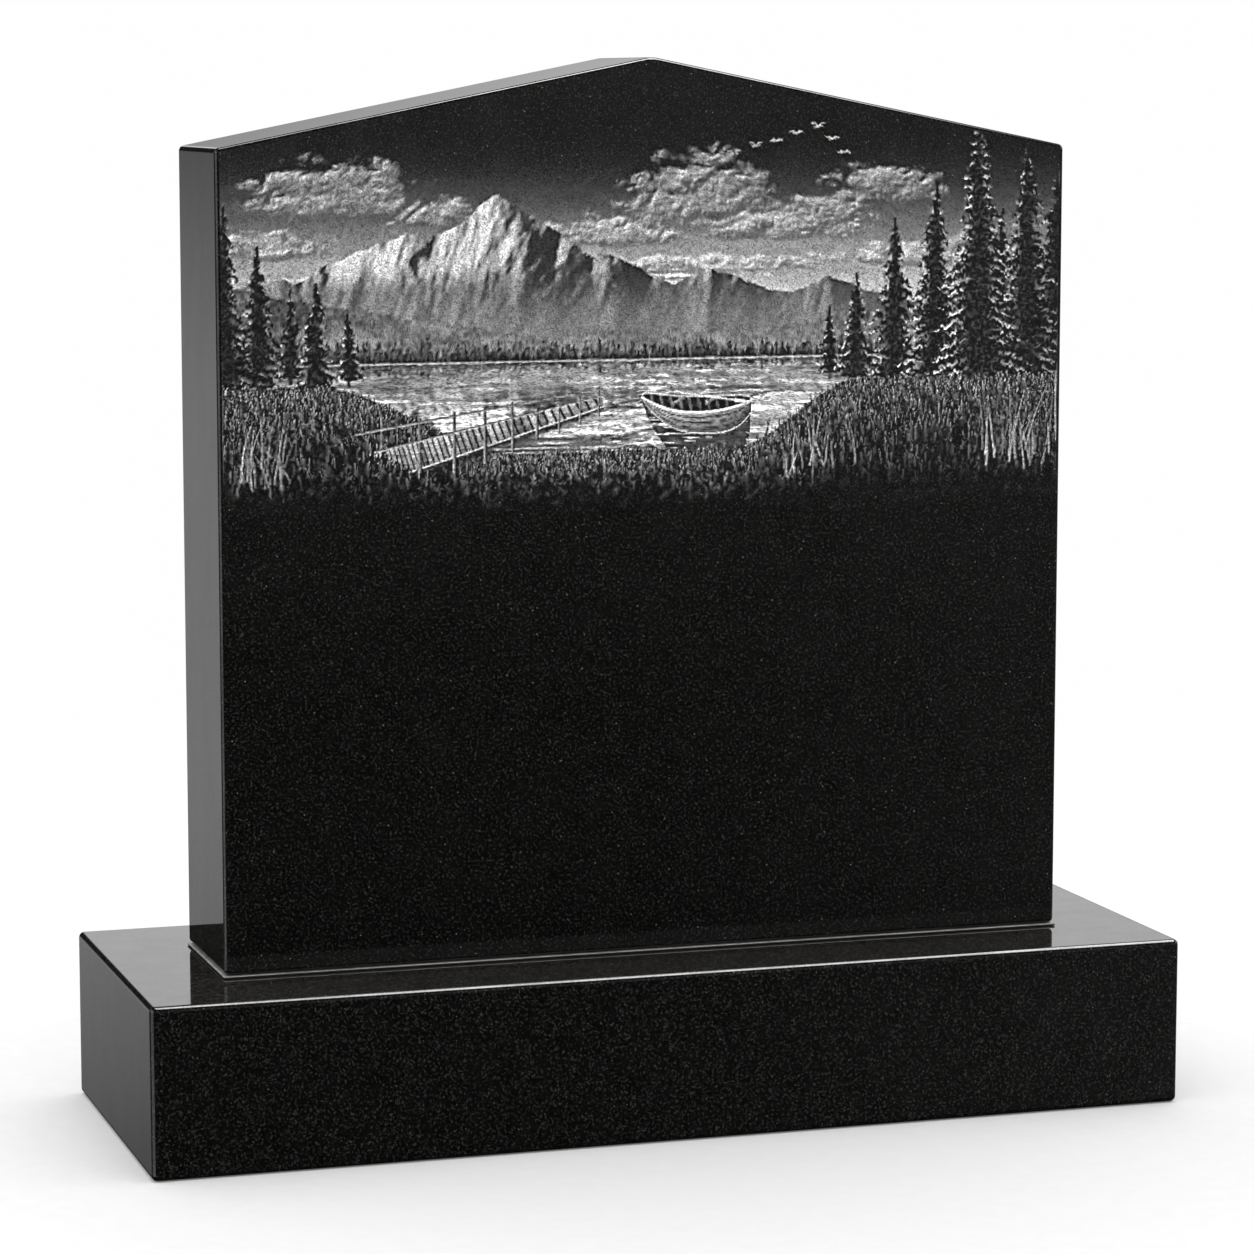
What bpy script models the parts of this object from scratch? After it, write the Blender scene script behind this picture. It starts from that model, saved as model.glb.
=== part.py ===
"""A polished granite headstone: a tablet with a shallow gabled top, set in a thin bed on a wider base block.

Metres, +Z up. The front of the tablet faces -Y. The origin is the middle of the base block's underside.
"""

import math

import bpy

# Tablet, the upright stone
TABLET_WIDTH = 0.760
TABLET_THICKNESS = 0.150
TABLET_EAVES_HEIGHT = 0.696  # from the tablet's foot up to where a side meets the sloping top
TABLET_PEAK_RISE = 0.076  # from the eaves up to the peak
TABLET_ARRIS = 0.004  # radius of the eased edges

# Base block
BASE_WIDTH = 0.924
BASE_DEPTH = 0.332
BASE_HEIGHT = 0.147
BASE_ARRIS = 0.005

# Setting bed, the thin layer of compound that the tablet stands in
BED_THICKNESS = 0.002
BED_SPREAD = 0.0025  # how far the compound stands out past the tablet's foot
BED_EDGE_SHARE = 0.3  # radius of the bed's rounded edge, as a share of its thickness

# Between pieces that touch, and on every eased edge
CONTACT_GAP = 0.0003
ARRIS_SEGMENTS = 3
ARRIS_LEAST_ANGLE = math.radians(10.0)  # the two slopes meet at about twice this angle or more

PART_NAME = "headstone"


def clear_scene():
    """Remove whatever the open file holds."""
    for found in list(bpy.context.scene.objects):
        bpy.data.objects.remove(found, do_unlink=True)


def make_collection(name):
    """Return a new collection linked to the scene."""
    collection = bpy.data.collections.new(name)
    bpy.context.scene.collection.children.link(collection)
    return collection


def make_material(name, colour, roughness):
    """Return a material with one Principled shader in the stone's or the compound's colour."""
    material = bpy.data.materials.new(name)
    material.use_nodes = True
    shader = material.node_tree.nodes["Principled BSDF"]
    shader.inputs["Base Color"].default_value = (*colour, 1.0)
    shader.inputs["Roughness"].default_value = roughness
    shader.inputs["Metallic"].default_value = 0.0
    material.diffuse_color = (*colour, 1.0)
    return material


def ease_edges(stone, radius):
    """Round every real edge of a block, leaving the seams inside its flat faces alone."""
    bevel = stone.modifiers.new("arris", "BEVEL")
    bevel.width = radius
    bevel.segments = ARRIS_SEGMENTS
    bevel.limit_method = "ANGLE"
    bevel.angle_limit = ARRIS_LEAST_ANGLE
    bevel.use_clamp_overlap = True


def make_block(name, size, foot_height, arris, material, collection):
    """Return a rectangular block whose underside is centred over the origin at foot_height."""
    bpy.ops.mesh.primitive_cube_add(size=1.0, location=(0.0, 0.0, foot_height + size[2] / 2.0))
    block = bpy.context.active_object
    block.name = name
    block.data.name = name
    block.scale = size
    bpy.ops.object.transform_apply(location=False, rotation=False, scale=True)
    for holder in list(block.users_collection):
        holder.objects.unlink(block)
    collection.objects.link(block)
    block.data.materials.append(material)
    ease_edges(block, arris)
    return block


def tablet_outline(width, eaves_height, peak_rise):
    """Return the corners of the gabled outline, from the left foot round to the left eaves."""
    half = width / 2.0
    return [
        (-half, 0.0),
        (half, 0.0),
        (half, eaves_height),
        (0.0, eaves_height + peak_rise),
        (-half, eaves_height),
    ]


def make_tablet(name, foot_height, material, collection):
    """Return the upright stone: the gabled outline, extruded through its thickness and stood up."""
    outline = tablet_outline(TABLET_WIDTH, TABLET_EAVES_HEIGHT, TABLET_PEAK_RISE)
    curve = bpy.data.curves.new(name, "CURVE")
    curve.dimensions = "2D"
    curve.fill_mode = "BOTH"
    curve.extrude = TABLET_THICKNESS / 2.0
    spline = curve.splines.new("POLY")
    spline.points.add(len(outline) - 1)
    for point, (across, up) in zip(spline.points, outline):
        point.co = (across, up, 0.0, 1.0)
    spline.use_cyclic_u = True
    curve.materials.append(material)
    tablet = bpy.data.objects.new(name, curve)
    tablet.location = (0.0, 0.0, foot_height)
    tablet.rotation_euler = (math.pi / 2.0, 0.0, 0.0)
    collection.objects.link(tablet)
    weld = tablet.modifiers.new("close_caps", "WELD")
    weld.merge_threshold = 0.0001
    flatten = tablet.modifiers.new("one_face_per_side", "DECIMATE")
    flatten.decimate_type = "DISSOLVE"
    flatten.angle_limit = ARRIS_LEAST_ANGLE / 2.0
    ease_edges(tablet, TABLET_ARRIS)
    return tablet


def main():
    """Build the three pieces from the ground up."""
    clear_scene()
    headstone = make_collection(PART_NAME)
    granite = make_material("polished_black_granite", (0.011, 0.011, 0.012), 0.06)
    compound = make_material("setting_compound", (0.46, 0.45, 0.43), 0.7)

    bed_foot = BASE_HEIGHT + CONTACT_GAP
    tablet_foot = bed_foot + BED_THICKNESS + CONTACT_GAP
    make_block(
        "base_block", (BASE_WIDTH, BASE_DEPTH, BASE_HEIGHT), 0.0, BASE_ARRIS, granite, headstone
    )
    bed_size = (
        TABLET_WIDTH + 2.0 * BED_SPREAD,
        TABLET_THICKNESS + 2.0 * BED_SPREAD,
        BED_THICKNESS,
    )
    bed_edge = BED_THICKNESS * BED_EDGE_SHARE
    make_block("setting_bed", bed_size, bed_foot, bed_edge, compound, headstone)
    make_tablet("tablet", tablet_foot, granite, headstone)


main()
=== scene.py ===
"""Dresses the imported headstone: black granite, a lake picture etched in its face, and a pale setting bead.

Metres, +Z up. The front of the stone faces -Y, and the origin is the middle of the base block's underside.
The picture is a function of place on the face. It is worked out on a fine lattice, kept as attributes of the
mesh, and cut into the polish by the material, so it stands neither proud of the stone nor sunk in it.
"""

import logging
import math
from dataclasses import dataclass, field
from enum import Enum

import bpy
import numpy as np
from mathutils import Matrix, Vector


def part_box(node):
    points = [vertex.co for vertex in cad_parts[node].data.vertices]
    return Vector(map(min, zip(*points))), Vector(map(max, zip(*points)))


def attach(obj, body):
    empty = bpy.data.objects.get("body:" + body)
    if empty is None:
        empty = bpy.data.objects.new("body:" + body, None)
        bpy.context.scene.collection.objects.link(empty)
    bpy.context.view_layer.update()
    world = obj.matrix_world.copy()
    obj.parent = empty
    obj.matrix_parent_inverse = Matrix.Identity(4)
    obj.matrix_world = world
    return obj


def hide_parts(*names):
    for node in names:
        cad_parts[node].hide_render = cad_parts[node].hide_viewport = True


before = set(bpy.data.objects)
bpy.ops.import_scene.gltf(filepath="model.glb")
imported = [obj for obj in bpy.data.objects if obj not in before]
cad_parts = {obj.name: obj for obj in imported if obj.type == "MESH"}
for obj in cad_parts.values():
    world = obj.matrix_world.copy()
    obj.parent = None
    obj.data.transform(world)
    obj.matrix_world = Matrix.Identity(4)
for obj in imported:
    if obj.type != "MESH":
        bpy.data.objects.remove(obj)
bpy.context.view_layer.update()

Array = np.ndarray
Pair = tuple[float, float]
Triple = tuple[float, float, float]
Socket = bpy.types.NodeSocket

LOG = logging.getLogger("headstone")
BODY = "root"

CHANCE_SIDE = 512
CHANCE = np.random.default_rng(20).random((CHANCE_SIDE, CHANCE_SIDE))
SOFT_EDGE = 0.00042  # half the width over which a drawn edge fades, about half a step of the lattice
STROKE_GRAIN = 0.16  # how far the tone wavers along a drawn stroke
TOUCH = 1e-6  # places nearer than this count as the same


class Node(Enum):
    """The frame's nodes."""

    TABLET = "tablet"
    BASE = "base_block"
    BED = "setting_bed"


class Slot(Enum):
    """The record's material slots."""

    GRANITE = "polished_granite"
    COMPOUND = "setting_compound"


class Mark(Enum):
    """The point attributes that carry the picture from the mesh to the stone's material."""

    TONE = "etch_tone"
    COVER = "etch_cover"
    UPRIGHT = "etch_upright"
    LEVEL = "etch_level"


def smooth(low: float, high: float, value: Array) -> Array:
    """Ease a value from 0 at low to 1 at high, which may be the lesser, with a cubic that ends level."""
    t = np.clip((value - low) / (high - low), 0.0, 1.0)
    return t * t * (3.0 - 2.0 * t)


def under(depth: Array) -> Array:
    """Return 1 where a point lies under a line by a depth above 0, and 0 over it, with a soft edge."""
    return smooth(-SOFT_EDGE, SOFT_EDGE, depth)


def chance(i: Array, j: Array, seed: int) -> Array:
    """Look up even chance values for pairs of whole numbers.

    Args:
        i: Whole numbers.
        j: Whole numbers, shaped as i.
        seed: Picks another part of the table of chance values.

    Returns:
        Numbers from 0 to 1, shaped as i.
    """
    row = (i.astype(np.int64) + 37 * seed) % CHANCE_SIDE
    column = (j.astype(np.int64) + 101 * seed) % CHANCE_SIDE
    return CHANCE[row, column]


def value_noise(x: Array, z: Array, seed: int) -> Array:
    """Blend the chance values of the four whole-number corners round each point.

    Args:
        x: First coordinate, in cells.
        z: Second coordinate, in cells.
        seed: Picks the chance values.

    Returns:
        Numbers from 0 to 1, shaped as x.
    """
    i, j = np.floor(x), np.floor(z)
    u, v = x - i, z - j
    u, v = u * u * (3.0 - 2.0 * u), v * v * (3.0 - 2.0 * v)
    low = over(chance(i, j, seed), chance(i + 1, j, seed), u)
    high = over(chance(i, j + 1, seed), chance(i + 1, j + 1, seed), u)
    return over(low, high, v)


def fractal(
    x: Array, z: Array, seed: int, octaves: int = 4, turned: bool = False, folded: bool = False
) -> Array:
    """Sum octaves of value noise, each twice as fine and half as strong as the one before.

    Args:
        x: First coordinate, in cells of the first octave.
        z: Second coordinate, in cells of the first octave.
        seed: Picks the chance values.
        octaves: Number of octaves.
        turned: Turn each octave by 37 degrees against the last, so that no grain runs along the axes.
        folded: Fold each octave about its middle, which gives round lumps with sharp creases between them.

    Returns:
        Numbers from 0 to 1, shaped as x.
    """
    total, weight = np.zeros_like(x), 0.0
    fading, stride = (0.56, 13) if folded else (0.5, 17)
    for k in range(octaves):
        share = fading**k
        noise = value_noise(x, z, seed + stride * k)
        total += share * (np.abs(2.0 * noise - 1.0) if folded else noise)
        weight += share
        if turned:
            x, z = 2.05 * (0.80 * x - 0.60 * z), 2.05 * (0.60 * x + 0.80 * z)
        else:
            x, z = 2.0 * x, 2.0 * z
    return total / weight


def over(below: Array, above: Array | float, cover: Array | float) -> Array:
    """Lay the tone above over the tone below. cover runs from 0, where the tone below stays, to 1."""
    return below * (1.0 - cover) + above * cover


@dataclass
class Drawing:
    """Points of the stone's face with what is drawn there so far.

    tone runs from 0 for bare polish to 1 for the palest cut. upright and level say which way the fine cuts of
    the tool run, and where both are 0 the cuts are short curls.
    """

    x: Array
    z: Array
    tone: Array
    upright: Array
    level: Array
    where: Array | None = None  # in a cropped drawing, the places of its points in the whole one

    @classmethod
    def blank(cls, x: Array, z: Array) -> "Drawing":
        """Return a drawing with nothing on it yet."""
        return cls(x, z, np.zeros_like(x), np.zeros_like(x), np.zeros_like(x))

    def crop(self, low: Pair, high: Pair) -> "Drawing":
        """Copy the points inside an upright box.

        Args:
            low: The box's left and lower limits.
            high: The box's right and upper limits.

        Returns:
            A drawing of them alone.
        """
        inside = (self.x > low[0]) & (self.x < high[0]) & (self.z > low[1]) & (self.z < high[1])
        k = np.flatnonzero(inside)
        return Drawing(self.x[k], self.z[k], self.tone[k], self.upright[k], self.level[k], k)

    def paste(self, part: "Drawing") -> None:
        """Put a cropped part back in its places."""
        for mine, new in zip((self.tone, self.upright, self.level), (part.tone, part.upright, part.level)):
            mine[part.where] = new

    def lay(self, tone: Array | float, cover: Array, upright: float = 0.0, level: float = 0.0) -> None:
        """Lay a tone over the drawing, in cuts that run the given way.

        Args:
            tone: The new tone.
            cover: From 0, where the drawing stays, to 1, where the tone hides it.
            upright: How far the new cuts stand upright.
            level: How far the new cuts lie level.
        """
        self.tone = over(self.tone, tone, cover)
        self.upright = over(self.upright, upright, cover)
        self.level = over(self.level, level, cover)

    def stroke(self, points: list[Pair], halves: list[float], left: float, right: float) -> None:
        """Draw a tapered stroke along a bent line, shaded from one side to the other like a round bar.

        A point is covered if it is nearer to the line than half the stroke's width there, which changes
        evenly between the line's points. The shade follows the signed distance across the line.

        Args:
            points: The line's points, in order.
            halves: Half the stroke's width at each point.
            left: Tone of the side on the left of the line's run.
            right: Tone of the side on the right.
        """
        for start, end, half_start, half_end in zip(points[:-1], points[1:], halves[:-1], halves[1:]):
            pad = max(half_start, half_end) + 2.0 * SOFT_EDGE
            low = (min(start[0], end[0]) - pad, min(start[1], end[1]) - pad)
            high = (max(start[0], end[0]) + pad, max(start[1], end[1]) + pad)
            part = self.crop(low, high)
            run = (end[0] - start[0], end[1] - start[1])
            length = math.hypot(*run)
            from_x, from_z = part.x - start[0], part.z - start[1]
            along = np.clip((from_x * run[0] + from_z * run[1]) / length**2, 0.0, 1.0)
            across = (from_x * run[1] - from_z * run[0]) / length
            away = np.hypot(from_x - along * run[0], from_z - along * run[1])
            half = half_start + (half_end - half_start) * along
            side = np.clip(0.5 + 0.5 * across / half, 0.0, 1.0)
            grain = STROKE_GRAIN * (value_noise(part.x * 900.0, part.z * 900.0, 191) - 0.5)
            part.lay(left + (right - left) * side + grain, under(half - away))
            self.paste(part)


@dataclass(frozen=True)
class Peak:
    """One summit of a ridge: its place, its height and how steeply the line falls to either side."""

    x: float
    top: float
    left: float
    right: float

    def line(self, x: Array) -> Array:
        """Return the height at x of the two straight slopes that meet in the summit."""
        return self.top - np.where(x < self.x, (self.x - x) * self.left, (x - self.x) * self.right)


def ridge_line(peaks: tuple[Peak, ...], x: Array, rough: float, seed: int) -> Array:
    """Return a ridge's height at each x: the highest of its peaks' slopes, with fractal roughness."""
    line = np.max([peak.line(x) for peak in peaks], axis=0)
    return line + rough * (fractal(x * 42.0, np.full_like(x, 0.5), seed, 5) - 0.5)


@dataclass(frozen=True)
class Sky:
    """An evening sky that pales towards the horizon, with faint level streaks."""

    dark: float = 0.062
    dark_above: float = 0.868
    pale_below: float = 0.705
    rise: float = 0.49
    glow: float = 0.12
    glow_at: Pair = (-0.02, 0.700)
    glow_spread: Pair = (0.30, 0.070)
    streaks: float = 0.16
    streaks_between: Pair = (0.86, 0.74)

    def draw(self, sheet: Drawing) -> None:
        """Fill the sheet: a dark tone, eased to a pale one by height, with a soft oval glow and streaks.

        Args:
            sheet: The drawing to fill.
        """
        low = smooth(self.dark_above, self.pale_below, sheet.z)
        from_x = (sheet.x - self.glow_at[0]) / self.glow_spread[0]
        from_z = (sheet.z - self.glow_at[1]) / self.glow_spread[1]
        streak = fractal(sheet.x * 13.0, sheet.z * 80.0, 11, 4) - 0.5
        tone = self.dark + self.rise * low**1.15 + self.glow * np.exp(-(from_x**2) - from_z**2)
        streak = self.streaks * streak * smooth(*self.streaks_between, sheet.z)
        sheet.lay(tone + streak, np.ones_like(sheet.x))


@dataclass(frozen=True)
class Clouds:
    """Heaped clouds: oval banks of lumps that are lit from the upper left.

    Each bank is its middle, the height of its base, its half length and its rise.
    """

    banks: tuple[tuple[float, float, float, float], ...] = (
        (-0.285, 0.800, 0.080, 0.036),
        (-0.190, 0.785, 0.050, 0.018),
        (0.045, 0.792, 0.085, 0.052),
        (0.125, 0.775, 0.090, 0.030),
        (-0.030, 0.770, 0.070, 0.022),
        (0.215, 0.806, 0.060, 0.026),
        (-0.340, 0.760, 0.070, 0.020),
        (0.050, 0.742, 0.130, 0.012),
        (0.260, 0.748, 0.130, 0.018),
        (-0.120, 0.735, 0.300, 0.006),
    )
    lean: Pair = (-0.0015, 0.0020)  # a short step away from the light
    squash: float = 2.6
    wander: float = 0.010
    lumps: Pair = (2.1, 0.36)  # their strength, and the noise at which they add nothing
    tone: float = 0.41
    relief: float = 0.66
    wisps: float = 0.14
    haze: float = 0.12
    heart: float = 0.04
    cover: float = 0.88

    def mass(self, x: Array, z: Array) -> Array:
        """Work out how deep in cloud each point lies.

        The mass is 1 less the squared distance from the nearest bank's middle, in half lengths and rises,
        with the part under the base squashed, plus folded noise for the lumps.

        Args:
            x: Places along the picture.
            z: Heights.

        Returns:
            The mass, above 0 inside a cloud.
        """
        best = np.full_like(x, -4.0)
        for middle, base, half, rise in self.banks:
            up = (z - base) / rise
            up = np.where(up < 0.0, up * self.squash, up)
            best = np.maximum(best, 1.0 - ((x - middle) / half) ** 2 - up * up)
        wander = self.wander * (fractal(x * 40.0, z * 40.0, 25, 3, turned=True) - 0.5)
        x, z = (x + wander) * 34.0 + 3.0, (z - wander) * 44.0
        lumps = fractal(x, z, 21, 5, turned=True, folded=True)
        return best + self.lumps[0] * (lumps - self.lumps[1])

    def draw(self, sheet: Drawing) -> None:
        """Lay the clouds, pale where their mass falls off towards the light.

        Args:
            sheet: The drawing, with the sky on it.
        """
        mass = self.mass(sheet.x, sheet.z)
        slope = mass - self.mass(sheet.x + self.lean[0], sheet.z + self.lean[1])
        wisps = fractal(sheet.x * 90.0, sheet.z * 130.0, 31, 3, turned=True) - 0.5
        body = self.tone + self.relief * np.clip(slope, -0.20, 0.42) + self.wisps * wisps
        body = body + self.haze * smooth(0.80, 0.70, sheet.z) + self.heart * smooth(0.4, 1.5, mass)
        sheet.lay(body, self.cover * smooth(-0.05, 0.50, mass))


@dataclass(frozen=True)
class Mountains:
    """A snow-topped range with gullies down its faces, lit from the left."""

    peaks: tuple[Peak, ...] = (
        Peak(-0.215, 0.776, 0.42, 0.55),
        Peak(-0.138, 0.806, 0.66, 0.62),
        Peak(-0.045, 0.757, 0.40, 0.45),
        Peak(0.050, 0.742, 0.45, 0.30),
        Peak(0.160, 0.733, 0.35, 0.30),
        Peak(-0.330, 0.738, 0.25, 0.30),
    )
    snow_low: float = 0.722
    snow_high: float = 0.750
    rough: float = 0.012
    contrast: float = 0.38
    gullies: float = 2.6
    ribs: float = 0.34
    rock: Pair = (0.16, 0.28)  # its tone in the shade, and what full light adds
    snow: Pair = (0.30, 0.44)
    haze: float = 0.47
    haze_cover: float = 0.60
    haze_between: Pair = (0.745, 0.688)

    def facing(self, x: Array, drop: Array, bend: Array, line: Array) -> Array:
        """Work out which faces turn to the light: those left of a bent line down from each summit.

        Args:
            x: Places along the picture.
            drop: How far each point lies below the ridge.
            bend: Sideways wander of the dividing lines.
            line: Height of the ridge.

        Returns:
            1 on lit faces and 0 on shaded ones, blended where peaks overlap.
        """
        total, weight = np.zeros_like(x), np.full_like(x, 1e-9)
        for peak in self.peaks:
            share = np.exp(np.clip((peak.line(x + bend) - line) * 150.0, -30.0, 5.0))
            total += share * smooth(0.004, -0.004, x - peak.x + bend - 0.22 * drop)
            weight += share
        return total / weight

    def draw(self, sheet: Drawing) -> None:
        """Lay the range: rock and snow by the light on each face, with haze at its foot.

        Args:
            sheet: The drawing, with sky and clouds on it.
        """
        x, z = sheet.x, sheet.z
        line = ridge_line(self.peaks, x, self.rough, 41)
        drop = np.clip(line - z, 0.0, None)
        bend = 0.024 * (fractal(x * 30.0, z * 30.0, 45, 3) - 0.5)
        facing = self.facing(x, drop, bend, line)
        across, down, step = x * 75.0 + drop * 26.0, z * 34.0, 0.15
        gully = fractal(across + step, down, 47, 4) - fractal(across - step, down, 47, 4)
        rib = fractal(x * 300.0 + drop * 90.0, z * 90.0, 48, 3) - 0.5
        light = 0.42 + self.contrast * (2.0 * facing - 1.0) * smooth(0.13, 0.0, drop)
        light = np.clip(light + self.gullies * gully + self.ribs * rib, 0.0, 1.0)
        edge = z + 0.014 * (fractal(x * 80.0, z * 80.0, 49, 3) - 0.5)
        snow = smooth(0.24, 0.50, light + 0.35 * smooth(0.738, 0.79, z))
        snow = snow * smooth(self.snow_low, self.snow_high, edge)
        rock, white = self.rock[0] + self.rock[1] * light, self.snow[0] + self.snow[1] * light
        body = over(over(rock, white, snow), self.haze, self.haze_cover * smooth(*self.haze_between, z))
        sheet.lay(body, under(line - z))


@dataclass(frozen=True)
class Hills:
    """Wooded hills before the range."""

    peaks: tuple[Peak, ...] = (
        Peak(-0.40, 0.734, 0.20, 0.17),
        Peak(-0.02, 0.692, 0.10, 0.08),
        Peak(0.42, 0.742, 0.20, 0.20),
        Peak(0.22, 0.706, 0.16, 0.14),
    )
    rough: float = 0.006
    tone: float = 0.27
    mottle: float = 0.24
    haze: float = 0.12

    def draw(self, sheet: Drawing) -> None:
        """Lay the hills: a toothed ridge with a mottled tone that pales downwards.

        Args:
            sheet: The drawing, with the range on it.
        """
        x, z = sheet.x, sheet.z
        line = ridge_line(self.peaks, x, self.rough, 61)
        line = line + 0.0016 * (value_noise(x * 900.0, np.zeros_like(x), 63) - 0.3)
        wood = fractal(x * 330.0, z * 260.0, 65, 3) - 0.5
        fold = fractal(x * 26.0 + z * 30.0, z * 60.0, 66, 3) - 0.5
        body = self.tone + self.mottle * wood + self.mottle * fold + self.haze * smooth(0.72, 0.675, z)
        sheet.lay(body, under(line - z), upright=0.6)


@dataclass(frozen=True)
class FarForest:
    """Three rows of small pointed trees along the far shore.

    Each row is the trees' pitch, their height and their tone.
    """

    waterline: float
    rows: tuple[Triple, ...] = ((0.0046, 0.0190, 0.25), (0.0062, 0.0155, 0.18), (0.0052, 0.0100, 0.12))

    def draw(self, sheet: Drawing) -> None:
        """Lay the rows: in each cell of a row stands one cone with a chance height and shift.

        Args:
            sheet: The drawing, with the hills on it.
        """
        part = sheet.crop((-1.0, self.waterline - 0.002), (1.0, self.waterline + 0.040))
        x, z = part.x, part.z
        for row, (pitch, rise, dark) in enumerate(self.rows):
            shift = 0.37 * row
            swell = 0.45 + 1.1 * fractal(x * 9.0, np.full_like(x, row), 71 + row, 3)
            line = np.full_like(x, self.waterline)
            for k in (-1, 0, 1):
                cell = np.floor(x / pitch + shift) + k
                still = np.zeros_like(cell)
                middle = (cell + 0.5 - shift + 0.5 * (chance(cell, still, 81 + row) - 0.5)) * pitch
                tall = rise * (0.4 + 0.8 * chance(cell, still, 82 + row)) * swell
                off = np.abs(x - middle) / (tall * 0.24)
                line = np.maximum(line, self.waterline + tall * np.clip(1.0 - off, 0.0, 1.0) ** 0.75)
            fleck = value_noise(x * 620.0, z * 420.0, 91 + row) - 0.35
            body = dark + 0.26 * fleck * smooth(0.0, 0.012, z - self.waterline)
            cover = under(line - z) * (z > self.waterline)
            part.lay(body, cover, upright=1.0)
        strand = smooth(0.0014, 0.0004, np.abs(z - self.waterline - 0.0004))
        part.lay(0.58, 0.8 * strand, level=1.0)
        sheet.paste(part)


@dataclass(frozen=True)
class Lake:
    """Water that mirrors what stands behind it, with level ripples and a broken sheen."""

    waterline: float
    bottom: float = 0.560
    stretch: float = 1.9
    sheen_at: float = 0.02
    sheen_half: float = 0.09
    dark: float = 0.12
    mirrored: float = 0.86
    crests: float = 0.26
    troughs: float = 0.10
    sparkle: float = 0.28

    def draw(self, sheet: Drawing, behind: tuple[object, ...]) -> None:
        """Lay the water: the far scenery turned upside down about the waterline, shaken sideways by noise.

        Args:
            sheet: The drawing, with the far shore on it.
            behind: The scenery that the water mirrors, from back to front.
        """
        part = sheet.crop((-1.0, self.bottom), (1.0, self.waterline + 0.001))
        depth = np.clip(self.waterline - part.z, 0.0, None)
        sway = (0.0012 + 0.05 * depth) * (value_noise(part.x * 34.0, part.z * 620.0, 101) - 0.5)
        mirror = Drawing.blank(part.x + sway, self.waterline + depth * self.stretch + 0.0008)
        for scenery in behind:
            scenery.draw(mirror)
        lines = fractal(part.x * 22.0, part.z * 520.0, 103, 2)
        sparkle = smooth(0.56, 0.74, fractal(part.x * 95.0, part.z * 700.0, 107, 3))
        sheen = np.exp(-(((part.x - self.sheen_at) / self.sheen_half) ** 2))
        tone = self.dark + self.mirrored * mirror.tone
        tone = tone + self.crests * smooth(0.60, 0.80, lines) * smooth(0.0, 0.03, depth)
        tone = tone - self.troughs * smooth(0.42, 0.25, lines) + self.sparkle * sheen * sparkle
        part.lay(tone, smooth(0.0004, -0.0004, part.z - self.waterline), level=1.0)
        sheet.paste(part)


@dataclass(frozen=True)
class Spruce:
    """One spruce: its foot, height, full width, chance seed and how much light it catches."""

    x: float
    foot: float
    height: float
    width: float
    seed: int
    light: float = 1.0
    whorl_gap: float = 0.0088
    fewest_whorls: float = 9.0
    droop: float = 0.085
    ragged: float = 0.55
    needles: float = 0.14
    trunk_half: float = 0.0034  # of a tree as high as trunk_of
    trunk_of: float = 0.18

    def draw(self, sheet: Drawing) -> None:
        """Draw the tree: whorls of drooping boughs whose reach shrinks evenly to the tip.

        Height over the tree, plus a droop that grows outwards, gives each point its whorl. A point is in a
        bough where it is nearer to the trunk than that whorl's reach, which narrows upwards within the whorl.

        Args:
            sheet: The drawing, with all that stands behind the tree.
        """
        low = (self.x - 0.62 * self.width, self.foot - 0.004)
        high = (self.x + 0.62 * self.width, self.foot + self.height * 1.03)
        part = sheet.crop(low, high)
        x, z = part.x, part.z
        u = (x - self.x - 0.0008 * np.sin(z * 60.0 + self.seed)) / (self.width / 2.0)
        v = (z - self.foot) / self.height
        away = np.abs(u)
        whorls = max(self.fewest_whorls, self.height / self.whorl_gap)
        ragged = self.ragged * (value_noise(x * 420.0, z * 160.0, 120 + self.seed) - 0.5)
        level = (v + self.droop * away**1.2) * whorls + ragged
        whorl = np.floor(level)
        up = level - whorl
        middle = np.clip((whorl + 0.5) / whorls, 0.0, 1.0)
        side = np.where(u < 0.0, 1, 0)
        reach = (1.0 - middle) ** 0.88 * (0.62 + 0.5 * chance(whorl, side, 130 + self.seed))
        reach = reach * (1.0 - 0.50 * up**1.3)
        needles = self.needles * (value_noise(x * 700.0, z * 500.0, 140 + self.seed) - 0.5)
        bough = smooth(0.05, -0.03, away - reach - needles * (1.0 - 0.6 * middle))
        bough = bough * (v > 0.05 + 0.03 * away) * (v < 1.0)
        outer = away / (reach + 0.01)
        gaps = smooth(0.74, 0.80, value_noise(x * 260.0, z * 210.0, 150 + self.seed))
        bough = bough * (1.0 - 0.8 * gaps * smooth(0.25, 0.6, outer))
        trunk_half = self.trunk_half * (1.15 - v) * self.height / self.trunk_of
        trunk = under(trunk_half - np.abs(x - self.x)) * (v < 0.99) * (v > -0.02)
        tips = smooth(0.62, 0.05, up) * smooth(0.10, 0.75, outer)
        fleck = value_noise(x * 560.0 + z * 160.0, z * 560.0, 160 + self.seed)
        body = 0.065 + (0.10 + 0.44 * tips) * self.light * smooth(0.30, 0.85, fleck + 0.25 * tips)
        body = body * (1.0 - 0.28 * np.clip(u * 1.3, -0.6, 1.0))
        part.lay(0.12 + 0.10 * (x < self.x), trunk, upright=1.0)
        part.lay(body, bough, upright=0.5)
        part.lay(0.10, smooth(0.0010, 0.0, np.abs(x - self.x)) * (v > 0.93) * (v < 1.0))
        sheet.paste(part)


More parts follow.
